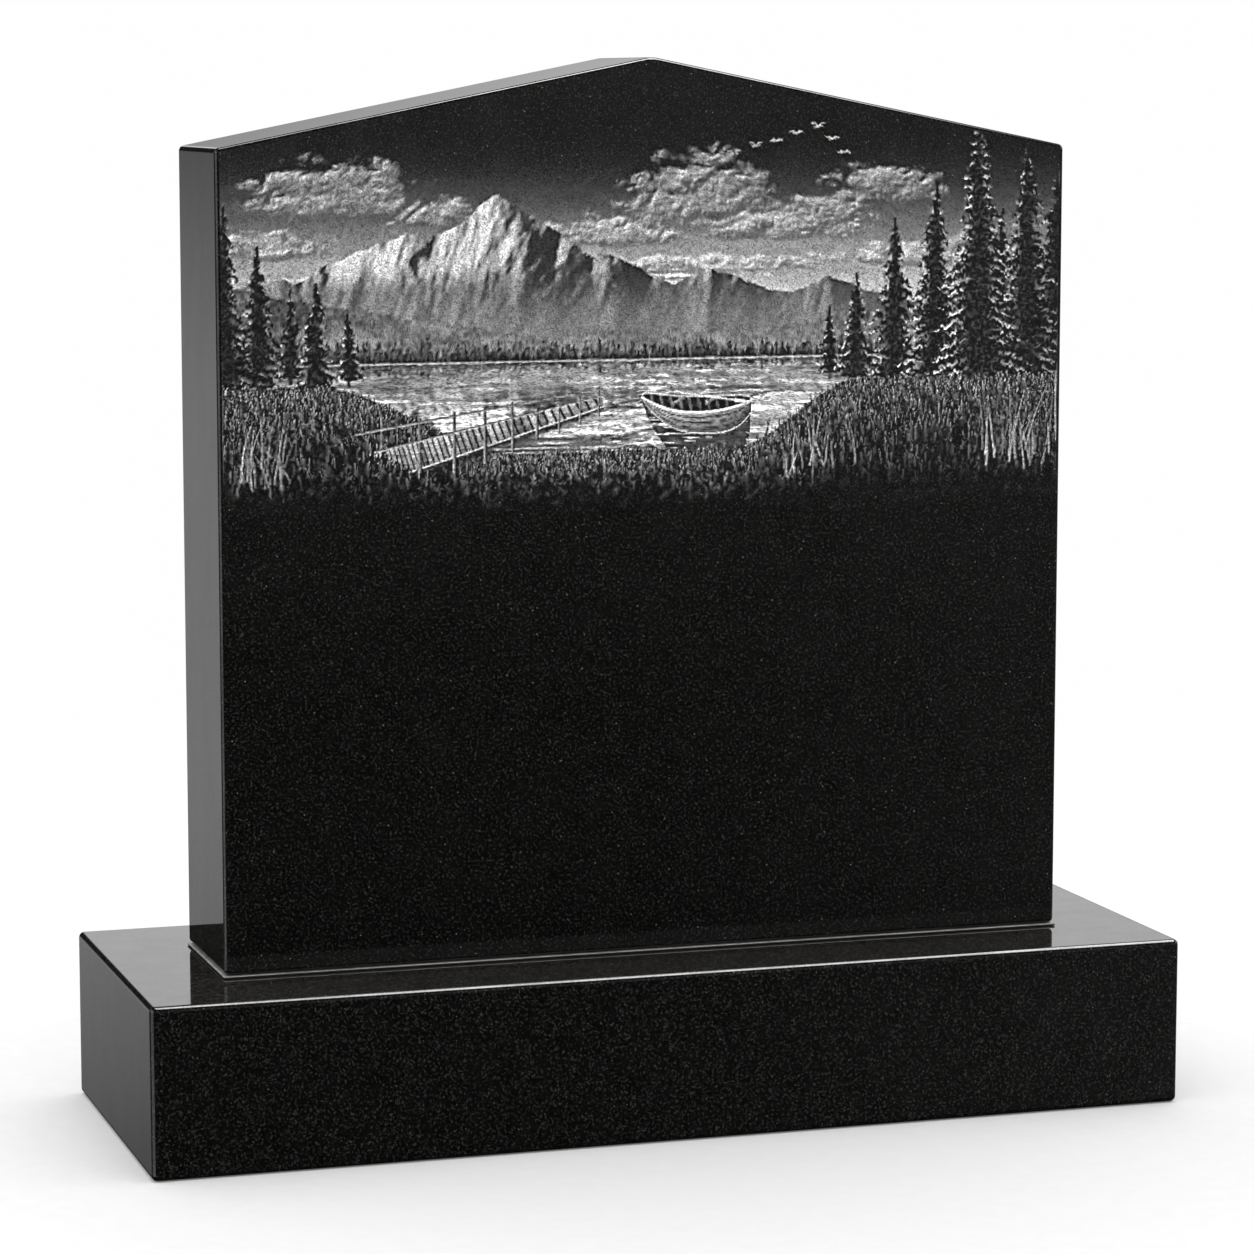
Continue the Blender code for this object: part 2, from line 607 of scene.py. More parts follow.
SPRUCES = (
    Spruce(-0.318, 0.650, 0.078, 0.040, 3, 0.90),
    Spruce(-0.268, 0.648, 0.060, 0.034, 6, 1.00),
    Spruce(-0.345, 0.640, 0.125, 0.062, 4, 0.85),
    Spruce(-0.296, 0.636, 0.098, 0.052, 14, 0.95),
    Spruce(-0.374, 0.632, 0.165, 0.078, 5, 0.80),
    Spruce(0.162, 0.646, 0.062, 0.034, 7, 1.00),
    Spruce(0.186, 0.640, 0.096, 0.050, 15, 0.95),
    Spruce(0.322, 0.640, 0.150, 0.070, 16, 0.75),
    Spruce(0.222, 0.636, 0.148, 0.072, 8, 0.95),
    Spruce(0.374, 0.630, 0.195, 0.098, 9, 0.80),
    Spruce(0.260, 0.630, 0.185, 0.086, 10, 0.95),
    Spruce(0.346, 0.618, 0.228, 0.108, 11, 0.90),
    Spruce(0.300, 0.608, 0.262, 0.124, 12, 1.05),
)


@dataclass(frozen=True)
class GrassBank:
    """The near bank: rows of leaning blades over a dark ground, each row taller and lower than the last."""

    middle: float = 0.586
    left_rise: float = 0.060
    right_rise: float = 0.058
    depth: float = 0.094
    rows: int = 30
    blade_height: Pair = (0.0045, 0.0115)  # in the first row, and what the last row adds
    pitch: Pair = (0.0012, 0.0012)
    sway: float = 0.4
    row_shift: float = 0.31
    bow: float = 3.4
    look_across: tuple[int, ...] = (-1, 0, 1, 2)  # the cells whose blades can reach a point

    def shore(self, x: Array) -> Array:
        """Return the height of the bank's edge, high at both sides and low where the lake comes nearest."""
        left = self.left_rise * smooth(-0.12, -0.30, x)
        right = self.right_rise * smooth(0.07, 0.19, x)
        return self.middle + left + right + 0.004 * (fractal(x * 26.0, np.full_like(x, 0.2), 171, 4) - 0.5)

    def draw_ground(self, sheet: Drawing) -> None:
        """Lay the ground under the blades, pale near the water and darker towards the viewer.

        Args:
            sheet: The drawing, with lake and trees on it.
        """
        depth = self.shore(sheet.x) - sheet.z
        swell = fractal(sheet.x * 14.0 + sheet.z * 20.0, sheet.z * 60.0, 173, 4) - 0.5
        ground = 0.42 - 0.28 * smooth(0.0, 0.06, depth) + 0.30 * swell
        ground = over(ground, 0.10, 0.8 * smooth(0.0030, 0.0, depth))
        sheet.lay(ground, under(depth), upright=1.0)

    def draw_row(self, sheet: Drawing, row: int) -> None:
        """Draw one row: in each cell stands a blade that tapers to its tip, leans and bows by chance.

        Args:
            sheet: The drawing, with the rows behind this one.
            row: The row's number, counted towards the viewer.
        """
        share = row / (self.rows - 1.0)
        tall = self.blade_height[0] + self.blade_height[1] * share
        pitch = self.pitch[0] + self.pitch[1] * share
        foot = self.shore(sheet.x) - 0.001 - self.depth * share**1.15
        near = np.flatnonzero((sheet.z > foot - 0.5 * tall) & (sheet.z < foot + 1.3 * tall))
        x, z, foot = sheet.x[near], sheet.z[near], foot[near]
        tone, upright = sheet.tone[near], sheet.upright[near]
        sway = self.sway * (fractal(x * 18.0, np.full_like(x, 3.0 * row), 175, 2) - 0.5)
        for k in self.look_across:
            lean = (z - foot) * sway
            cell = np.floor((x + lean) / pitch + self.row_shift * row) + k
            still = np.full_like(cell, row)
            middle = (cell - self.row_shift * row + 0.2 * chance(cell, still, 177)) * pitch
            up = (z - foot) / (tall * (0.35 + 0.85 * chance(cell, still, 178)))
            bow = self.bow * pitch * (chance(cell, still, 180) - 0.5) * np.clip(up, 0.0, 1.0) ** 1.6
            half = pitch * 0.46 * np.clip(1.0 - up, 0.0, 1.0) ** 0.6
            blade = (np.abs(x + lean - middle - bow) < half) & (up > -0.4) & (up < 1.0)
            shade = 0.05 + 0.66 * chance(cell, still, 179) ** 2.2 * (0.40 + 0.60 * np.clip(up, 0.0, 1.0))
            shade = shade * (1.0 - 0.55 * share) + 0.05 * (1.0 - share)
            tone = np.where(blade, over(tone, shade, 0.85), tone)
            upright = np.where(blade, 1.0, upright)
        sheet.tone[near] = tone
        sheet.upright[near] = upright


@dataclass(frozen=True)
class Jetty:
    """A plank jetty on posts, seen at a slant, with a handrail along both sides."""

    near_end: Pair = (-0.262, 0.5725)
    far_end: Pair = (-0.045, 0.6290)
    near_half: float = 0.0135
    far_half: float = 0.0045
    bays: tuple[float, ...] = (0.16, 0.46, 0.84, 1.32, 1.95, 2.80, 4.00, 6.00, 9.50)
    shortening: float = 0.62

    def stations(self) -> list[float]:
        """Return the posts' shares of the way out, drawn together by distance as s / (s + 1) does."""
        shares = 1.0 - 1.0 / (1.0 + np.array(self.bays) * self.shortening)
        return list(shares / shares.max() * 0.985)

    def at(self, share: float, up: float) -> Pair:
        """Return the point at a share of the way out, raised by up half widths of the deck there."""
        x = self.near_end[0] + (self.far_end[0] - self.near_end[0]) * share
        z = self.near_end[1] + (self.far_end[1] - self.near_end[1]) * share
        return x, z + self.half(share) * up

    def half(self, share: Array | float) -> Array | float:
        """Return half the deck's drawn width at a share of the way out."""
        return self.near_half + (self.far_half - self.near_half) * share

    def draw_deck(self, sheet: Drawing) -> None:
        """Draw the planks, the edge beam and the dark under the deck.

        The share of the way out runs along the deck, and the distance across it is counted in half widths.
        Planks lie closer together with distance, by the logarithm of the share.

        Args:
            sheet: The drawing, with the bank behind the jetty.
        """
        part = sheet.crop((-0.28, 0.54), (-0.03, 0.65))
        x, z = part.x, part.z
        run = (self.far_end[0] - self.near_end[0], self.far_end[1] - self.near_end[1])
        from_x, from_z = x - self.near_end[0], z - self.near_end[1]
        t = (from_x * run[0] + from_z * run[1]) / math.hypot(*run) ** 2
        half = self.half(np.clip(t, 0.0, 1.0))
        off = (from_z - from_x * run[1] / run[0]) / half
        on_run = (t > -0.02) & (t < 1.0)
        beneath = on_run & (off < -1.0) & (off > -2.6) & (t > 0.10)
        part.lay(0.10, 0.75 * beneath * smooth(2.6, 1.0, np.abs(off)))
        plank = np.log1p(np.clip(t, 0.0, 1.0) * 1.9) * 40.0 + 0.16 * off
        beside = np.minimum(plank % 1.0, 1.0 - plank % 1.0)
        board = chance(np.floor(plank), np.zeros_like(plank), 193) - 0.5
        grain = fractal(x * 90.0, z * 1400.0, 195, 2) - 0.5
        deck = 0.46 + 0.22 * board + 0.26 * grain + 0.06 * off
        deck = over(deck, 0.09, 0.85 * smooth(0.20, 0.05, beside))
        part.lay(deck, 1.0 * (on_run & (np.abs(off) < 1.0)))
        beam = 0.20 + 0.12 * (fractal(x * 60.0, z * 900.0, 197, 2) - 0.5)
        part.lay(beam, 1.0 * (on_run & (off < -1.0) & (off > -1.34)))
        lip = smooth(0.0010, 0.0003, np.abs(off + 1.0) * half)
        part.lay(0.64, lip * on_run)
        sheet.paste(part)

    def draw(self, sheet: Drawing) -> None:
        """Draw the far rail and posts, the deck, then the near posts and rail.

        Args:
            sheet: The drawing, with the bank behind the jetty.
        """
        for share in self.stations():
            half = self.half(share)
            sheet.stroke([self.at(share, 0.9), self.at(share, 2.75)], [half * 0.13, half * 0.12], 0.42, 0.14)
        sheet.stroke([self.at(0.0, 2.5), self.at(1.0, 2.5)], [0.0011, 0.0006], 0.22, 0.60)
        self.draw_deck(sheet)
        for share in self.stations():
            half = self.half(share)
            sheet.stroke([self.at(share, -2.5), self.at(share, 1.35)], [half * 0.17, half * 0.15], 0.58, 0.12)
        sheet.stroke([self.at(0.0, 1.1), self.at(1.0, 1.1)], [0.0013, 0.0006], 0.20, 0.68)


@dataclass(frozen=True)
class RowingBoat:
    """A clinker-built rowing boat on a mooring line, drawn from its side."""

    x: float = 0.040
    z: float = 0.6165
    half: float = 0.050
    depth: float = 0.0150
    moored_to: Pair = (-0.048, 0.6345)

    def draw(self, sheet: Drawing) -> None:
        """Draw the hull between its sheer and keel curves, the inside behind it, its mirror, an oar and the
        line.

        The sheer rises with the power 2.2 of the distance from the middle, and the keel hangs under it by a
        depth that closes towards both ends. The far side is half an ellipse over the sheer.

        Args:
            sheet: The drawing, with the lake on it.
        """
        low, high = self.x - 1.3 * self.half, self.x + 1.3 * self.half
        part = sheet.crop((low, self.z - 3.2 * self.depth), (high, self.z + 3.2 * self.depth))
        x, z = part.x, part.z
        u = (x - self.x) / self.half
        away = np.abs(u)
        bow_lift = np.where(u < 0.0, 0.34 * u * u, 0.0)
        sheer = self.z + self.depth * (0.10 + 0.62 * away**2.2 + bow_lift)
        closing = np.where(u < 0.0, 1.0 - away**3.0, 1.0 - 0.62 * away**5.0)
        keel = sheer - self.depth * ((1.10 + 0.25 * u) * closing + 0.10)
        far = sheer + self.depth * 0.92 * np.sqrt(np.clip(1.0 - u * u, 0.0, 1.0))
        drawn = sheer - keel
        ripple = value_noise(x * 60.0, z * 900.0, 201) < 0.78
        mirror = (away < 0.97) & (z < keel) & (z > keel - 1.5 * drawn) & ripple
        part.lay(0.11, 0.75 * mirror, level=1.0)
        ribs = smooth(0.10, 0.25, np.abs((u * 6.0 + 0.4 * (z - self.z) / self.depth) % 1.0 - 0.5))
        inside = (away < 0.97) & (z >= sheer) & (z < far)
        part.lay(0.08 + 0.20 * (1.0 - ribs) + 0.05 * (u < 0), 1.0 * inside)
        down = (sheer - z) / np.maximum(drawn, 1e-6)
        lap = np.minimum((down * 4.0) % 1.0, 1.0 - (down * 4.0) % 1.0)
        hull = 0.54 - 0.26 * down + 0.12 * (value_noise(x * 260.0, z * 1500.0, 203) - 0.5) - 0.10 * u
        hull = over(hull, 0.14, 0.75 * smooth(0.16, 0.05, lap))
        part.lay(hull, 1.0 * ((away < 1.0) & (z < sheer) & (z > keel)), level=1.0)
        part.lay(0.62, smooth(0.0010, 0.0003, np.abs(z - keel)) * (away < 0.98))
        part.lay(0.82, smooth(0.0014, 0.0005, np.abs(z - sheer)) * (away < 1.0))
        part.lay(0.64, smooth(0.0012, 0.0004, np.abs(z - far)) * (away < 1.0))
        sheet.paste(part)
        self.draw_gear(sheet)

    def draw_gear(self, sheet: Drawing) -> None:
        """Draw the thwarts, an oar and the sagging mooring line.

        Args:
            sheet: The drawing, with the hull on it.
        """
        for share in (-0.35, 0.25):
            x = self.x + share * self.half
            ends = [(x - 0.004, self.z + self.depth * 0.62), (x + 0.006, self.z + self.depth * 0.98)]
            sheet.stroke(ends, [0.0013, 0.0012], 0.55, 0.40)
        loom = (self.x - self.half * 0.55, self.z + self.depth * 1.35)
        neck = (self.x + self.half * 0.71, self.z + self.depth * 0.75)
        tip = (self.x + self.half * 0.92, self.z + self.depth * 0.62)
        sheet.stroke([loom, neck], [0.0007, 0.0008], 0.74, 0.60)
        sheet.stroke([neck, tip], [0.0017, 0.0015], 0.74, 0.60)
        stem = (self.x - self.half, self.z + self.depth * 0.85)
        shares = np.linspace(0.0, 1.0, 9)
        xs = stem[0] + (self.moored_to[0] - stem[0]) * shares
        zs = stem[1] + (self.moored_to[1] - stem[1]) * shares - 0.022 * shares * (1.0 - shares)
        sheet.stroke(list(zip(xs, zs)), [0.0005] * 9, 0.58, 0.50)


@dataclass(frozen=True)
class Geese:
    """A skein of geese, each placed from the leader."""

    lead: Pair = (0.150, 0.862)
    places: tuple[Pair, ...] = (
        (0.0, 0.0),
        (-0.020, -0.0055),
        (-0.038, -0.0120),
        (-0.057, -0.0165),
        (0.013, -0.0105),
        (0.024, -0.0220),
        (-0.077, -0.0235),
    )

    def draw(self, sheet: Drawing) -> None:
        """Draw two bent wings and a body for each bird.

        Args:
            sheet: The drawing, with the sky on it.
        """
        for n, (dx, dz) in enumerate(self.places):
            x, z = self.lead[0] + dx, self.lead[1] + dz
            span = 0.0066 - 0.0002 * n
            flap = 0.0032 * (1.0 - 0.6 * (n % 3))
            for way in (-1.0, 1.0):
                elbow = (x + way * span * 0.45, z + abs(flap) * 0.6 + 0.0012)
                tip = (x + way * span, z + flap)
                sheet.stroke([(x, z), elbow, tip], [0.0008, 0.0007, 0.0004], 0.52, 0.46)
            sheet.stroke([(x - 0.0030, z - 0.0003), (x + 0.0042, z + 0.0008)], [0.0009, 0.0005], 0.50, 0.44)


@dataclass(frozen=True)
class Reeds:
    """Clumps of reeds with bulrush heads. Each clump is its middle, spread, number of stalks and foot."""

    clumps: tuple[tuple[float, float, int, float], ...] = (
        (0.335, 0.040, 46, 0.572),
        (-0.345, 0.026, 30, 0.566),
        (0.135, 0.030, 22, 0.566),
    )
    seed: int = 31

    def draw(self, sheet: Drawing) -> None:
        """Draw each stalk as a stroke that leans and curls by chance and tapers to its tip.

        Args:
            sheet: The drawing, with the bank on it.
        """
        rng = np.random.default_rng(self.seed)
        share = np.linspace(0.0, 1.0, 6)
        for middle, spread, count, foot in self.clumps:
            for _ in range(count):
                x = middle + spread * rng.normal(0.0, 0.6)
                z = foot + 0.012 * rng.normal(0.0, 0.5)
                tall = 0.030 + 0.030 * rng.random()
                lean, curl = rng.normal(0.0, 0.16), rng.normal(0.0, 0.10)
                xs = x + tall * (lean * share + curl * share**2)
                zs = z + tall * (share - 0.12 * share**2 * abs(lean + curl))
                shade = 0.22 + 0.42 * rng.random()
                halves = list(0.0010 * (1.0 - 0.70 * share))
                sheet.stroke(list(zip(xs, zs)), halves, shade, shade * 0.6)
                if rng.random() < 0.30:
                    sheet.stroke([(xs[4], zs[4]), (xs[5], zs[5] + 0.002)], [0.0014, 0.0013], 0.34, 0.12)


@dataclass(frozen=True)
class LakePicture:
    """A mountain lake with spruces, a jetty and a rowing boat, for the upper part of the stone's face.

    The etching thins out between fade_low and fade_high, so that the grass goes over into bare polish.
    """

    waterline: float = 0.664
    fade_low: float = 0.534
    fade_high: float = 0.580
    jetty_row: int = 16

    def draw(self, x: Array, z: Array) -> Drawing:
        """Draw the whole picture, from the sky to the nearest grass.

        Args:
            x: Places along the face.
            z: Heights of the same points.

        Returns:
            The drawing of those points.
        """
        behind = (Sky(), Clouds(), Mountains(), Hills(), FarForest(self.waterline))
        sheet = Drawing.blank(x, z)
        for scenery in behind:
            scenery.draw(sheet)
        Lake(self.waterline).draw(sheet, behind)
        RowingBoat().draw(sheet)
        for tree in SPRUCES:
            tree.draw(sheet)
        bank = GrassBank()
        bank.draw_ground(sheet)
        for row in range(self.jetty_row):
            bank.draw_row(sheet, row)
        Jetty().draw(sheet)
        for row in range(self.jetty_row, bank.rows):
            bank.draw_row(sheet, row)
        Geese().draw(sheet)
        Reeds().draw(sheet)
        sheet.tone = np.clip(sheet.tone, 0.0, 1.0)
        return sheet

    def cover(self, x: Array, z: Array) -> Array:
        """Work out how much of the etching is there: all above and none below, with a ragged edge.

        Args:
            x: Places along the face.
            z: Heights of the same points.

        Returns:
            From 0, bare polish, to 1.
        """
        ragged = 0.020 * (fractal(x * 36.0, z * 36.0, 211, 4) - 0.5)
        ragged = ragged + 0.010 * (value_noise(x * 420.0, z * 90.0, 213) - 0.5)
        return smooth(self.fade_low, self.fade_high, z + ragged)


def crispen(tone: Array, reach: int, amount: float) -> Array:
    """Raise the contrast of a grid's details: each value moves away from the mean of the square round it.

    Args:
        tone: The grid.
        reach: How many steps the square goes out to each side.
        amount: How far the value moves, as a share of its distance from the mean.

    Returns:
        The crisper grid, kept from 0 to 1.
    """
    side = 2 * reach + 1
    sums = np.pad(np.pad(tone, reach, mode="edge"), ((1, 0), (1, 0))).cumsum(axis=0).cumsum(axis=1)
    mean = (sums[side:, side:] - sums[:-side, side:] - sums[side:, :-side] + sums[:-side, :-side]) / side**2
    return np.clip(tone + amount * (tone - mean), 0.0, 1.0)


@dataclass(frozen=True)
class Patch:
    """A rectangle of the bake's map, by its lower left and upper right corners."""

    low: Pair
    high: Pair

    def place(self, u: Array, v: Array) -> Array:
        """Put shares of the way across and up into the rectangle, as map places, one row each."""
        wide, tall = self.high[0] - self.low[0], self.high[1] - self.low[1]
        return np.stack([self.low[0] + wide * u, self.low[1] + tall * v], axis=1)


WHOLE_MAP = Patch((0.0, 0.0), (1.0, 1.0))


@dataclass
class MeshParts:
    """Points and faces gathered from several surfaces, to be put into one mesh.

    Points come with their normals. Faces of any number of corners are kept as one long list of corners and a
    list of how many corners each face has.
    """

    points: list[Array] = field(default_factory=list)
    normals: list[Array] = field(default_factory=list)
    corners: list[Array] = field(default_factory=list)
    totals: list[Array] = field(default_factory=list)
    finishes: list[Array] = field(default_factory=list)
    maps: list[Array] = field(default_factory=list)
    count: int = 0

    def add_points(self, points: Array, normals: Array) -> int:
        """Add points.

        Args:
            points: Places, one row each.
            normals: Outward directions, one row each.

        Returns:
            The index of the first of them.
        """
        first = self.count
        self.points.append(points)
        self.normals.append(normals)
        self.count += len(points)
        return first

    def add_faces(self, corners: Array, totals: Array, places: Array, finish: int = 0) -> None:
        """Add faces.

        Args:
            corners: Indices of the corners, face after face.
            totals: Number of corners of each face.
            places: The corners' places in the bake's map.
            finish: Which of the object's materials the faces wear.
        """
        self.corners.append(corners)
        self.totals.append(totals)
        self.maps.append(places)
        self.finishes.append(np.full(len(totals), finish))

    def triangles(self) -> int:
        """Return the number of triangles that the faces come to."""
        return int(sum((totals - 2).sum() for totals in self.totals))

    def build(self, name: str, materials: list[bpy.types.Material], mapped: bool = False) -> bpy.types.Object:
        """Put the parts into a new object.

        Args:
            name: Name of the object and of its mesh.
            materials: The materials, in the order of the faces' finishes.
            mapped: Keep the bake's map with the mesh.

        Returns:
            The object, at the origin.
        """
        corners, totals = np.concatenate(self.corners), np.concatenate(self.totals)
        mesh = bpy.data.meshes.new(name)
        mesh.vertices.add(self.count)
        mesh.vertices.foreach_set("co", np.concatenate(self.points).astype(np.float32).ravel())
        mesh.loops.add(len(corners))
        mesh.loops.foreach_set("vertex_index", corners.astype(np.int32))
        mesh.polygons.add(len(totals))
        mesh.polygons.foreach_set("loop_start", (np.cumsum(totals) - totals).astype(np.int32))
        mesh.polygons.foreach_set("material_index", np.concatenate(self.finishes).astype(np.int32))
        mesh.polygons.foreach_set("use_smooth", np.ones(len(totals), bool))
        for material in materials:
            mesh.materials.append(material)
        if mapped:
            layer = mesh.uv_layers.new(name="OFBake")
            layer.uv.foreach_set("vector", np.concatenate(self.maps).astype(np.float32).ravel())
        mesh.update(calc_edges=True)
        mesh.validate(verbose=False)
        mesh.normals_split_custom_set_from_vertices(np.concatenate(self.normals).astype(np.float32))
        made = bpy.data.objects.new(name, mesh)
        bpy.context.scene.collection.objects.link(made)
        return made


@dataclass(frozen=True)
class Corner:
    """One corner of a slab's outline and the radius that it is rounded to."""

    across: float
    up: float
    radius: float
    steps: int = 6


def rectangle(width: float, depth: float, radius: float) -> tuple[Corner, ...]:
    """List the corners of a rectangular outline about the origin, anticlockwise from the lower left.

    Args:
        width: The outline's size across.
        depth: Its size up.
        radius: The corners' radius.

    Returns:
        The four corners.
    """
    half, deep = width / 2.0, depth / 2.0
    places = ((-half, -deep), (half, -deep), (half, deep), (-half, deep))
    return tuple(Corner(across, up, radius) for across, up in places)


@dataclass
class Rim:
    """The path round the flat of a slab's face: its points and the outward direction at each."""

    points: Array
    outward: Array

    def nearest(self, across: float, up: float) -> int:
        """Return the index of the point nearest to a place."""
        return int(np.argmin(np.hypot(self.points[:, 0] - across, self.points[:, 1] - up)))


@dataclass
class EasedSlab:
    """A slab with an outline of rounded corners and quarter-round arrises along both its faces.

    Its own axes are across, up and out, where out is the way that the face looks, and points run
    anticlockwise as seen from there. axes gives the three directions in the frame, one row each, and centre
    their origin. stations holds, for each side of the outline, extra places on it as shares of its length.
    """

    corners: tuple[Corner, ...]
    thickness: float
    arris: float
    axes: Array
    centre: Array
    stations: tuple[Array, ...] = ()
    arris_steps: int = 6

    def rim(self) -> Rim:
        """Work out the path that the arris springs from: the outline moved inwards by the arris radius.

        Each corner becomes an arc about the point that lies, along the corner's bisector, the corner's radius
        away from both sides. The arc's own radius is that less the arris. Straight sides join the arcs.

        Returns:
            The path, starting with the first corner's arc.
        """
        places = np.array([(corner.across, corner.up) for corner in self.corners])
        runs = np.roll(places, -1, axis=0) - places
        runs = runs / np.linalg.norm(runs, axis=1, keepdims=True)
        outs = np.stack([runs[:, 1], -runs[:, 0]], axis=1)
        arcs, outwards = [], []
        for k, corner in enumerate(self.corners):
            before, after = outs[k - 1], outs[k]
            centre = places[k] - corner.radius * (before + after) / (1.0 + before @ after)
            angles = np.linspace(0.0, math.acos(float(before @ after)), corner.steps + 1)
            cos, sin = np.cos(angles)[:, None], np.sin(angles)[:, None]
            turned = before * cos + np.array([-before[1], before[0]]) * sin
            arcs.append(centre + (corner.radius - self.arris) * turned)
            outwards.append(turned)
        points, outward = [], []
        for k, arc in enumerate(arcs):
            shares = self.stations[k][:, None] if self.stations else np.zeros((0, 1))
            start, end = arc[-1], arcs[(k + 1) % len(arcs)][0]
            points += [arc, start + (end - start) * shares]
            outward += [outwards[k], np.tile(outs[k], (len(shares), 1))]
        return Rim(np.concatenate(points), np.concatenate(outward))

    def placed(self, across: Array, up: Array, out: Array) -> Array:
        """Carry points from the slab's own axes into the frame, one row each."""
        return self.centre + np.stack([across, up, out], axis=-1).reshape(-1, 3) @ self.axes

    def wrap(self, parts: MeshParts, rim: Rim, patch: Patch) -> tuple[Array, Array]:
        """Add the slab's two arrises and its edge: the rim carried round a quarter circle, back, and round.

        On the ring at angle a of an arris, a point lies arris times sin a outwards of the rim and arris times
        (1 - cos a) behind the face, and its normal is the outward direction times sin a plus out times cos a.

        Args:
            parts: Where the surface goes.
            rim: The path round the flat of the face.
            patch: Where the edge lies in the bake's map, the rim across it and the thickness up it.

        Returns:
            Indices of the face's ring and of the back's ring, both in the rim's order.
        """
        angles = np.linspace(0.0, math.pi / 2.0, self.arris_steps + 1)
        sin = np.concatenate([np.sin(angles), np.sin(angles[::-1])])
        cos = np.concatenate([np.cos(angles), -np.cos(angles[::-1])])
        out = np.where(
            np.arange(len(sin)) <= self.arris_steps,
            self.thickness / 2.0 - self.arris * (1.0 - cos),
            -self.thickness / 2.0 + self.arris * (1.0 + cos),
        )
        flat = rim.points[None] + self.arris * sin[:, None, None] * rim.outward[None]
        normal = sin[:, None, None] * rim.outward[None]
        rings, size = len(sin), len(rim.points)
        depth = np.repeat(out[:, None], size, axis=1)
        points = self.placed(flat[..., 0], flat[..., 1], depth)
        tilt = np.repeat(cos[:, None], size, axis=1)
        normals = np.stack([normal[..., 0], normal[..., 1], tilt], axis=-1).reshape(-1, 3) @ self.axes
        first = parts.add_points(points, normals)
        index = first + np.arange(rings * size).reshape(rings, size)
        after = np.roll(index, -1, axis=1)
        quads = np.stack([index[:-1], index[1:], after[1:], after[:-1]], axis=-1)
        share = np.arange(size + 1) / size
        across = np.stack([share[:-1], share[:-1], share[1:], share[1:]], axis=-1)
        travel = np.linspace(0.0, 1.0, rings)
        upward = np.stack([travel[:-1], travel[1:], travel[1:], travel[:-1]], axis=-1)
        across = np.broadcast_to(across[None], quads.shape)
        upward = np.broadcast_to(upward[:, None], quads.shape)
        totals = np.full((rings - 1) * size, 4)
        parts.add_faces(quads.ravel(), totals, patch.place(across.ravel(), upward.ravel()))
        return index[0], index[-1]

    def cap(self, parts: MeshParts, ring: Array, rim: Rim, patch: Patch, back: bool, finish: int = 0) -> None:
        """Close one side of the slab with a flat face.

        Args:
            parts: Where the face goes.
            ring: Indices of the face's corners, in the rim's order.
            rim: The path round the flat of the face.
            patch: Where the face lies in the bake's map.
            back: The face looks backwards.
            finish: Which of the object's materials it wears.
        """
        low, high = rim.points.min(axis=0), rim.points.max(axis=0)
        share = (rim.points - low) / (high - low)
        places = patch.place(share[:, 0], share[:, 1])
        turn = slice(None, None, -1) if back else slice(None)
        parts.add_faces(ring[turn], np.array([len(ring)]), places[turn], finish)

    def whole(self, rim: Rim, back_finish: int = 0) -> MeshParts:
        """Gather the whole slab: its edge and both flat faces.

        Args:
            rim: The path round the flat of the face.
            back_finish: Which of the object's materials the back wears.

        Returns:
            The surfaces.
        """
        parts = MeshParts()
        face, back = self.wrap(parts, rim, WHOLE_MAP)
        self.cap(parts, face, rim, WHOLE_MAP, back=False)
        self.cap(parts, back, rim, WHOLE_MAP, back=True, finish=back_finish)
        return parts


UPRIGHT = np.array([(1.0, 0.0, 0.0), (0.0, 0.0, 1.0), (0.0, -1.0, 0.0)])
LYING = np.eye(3)


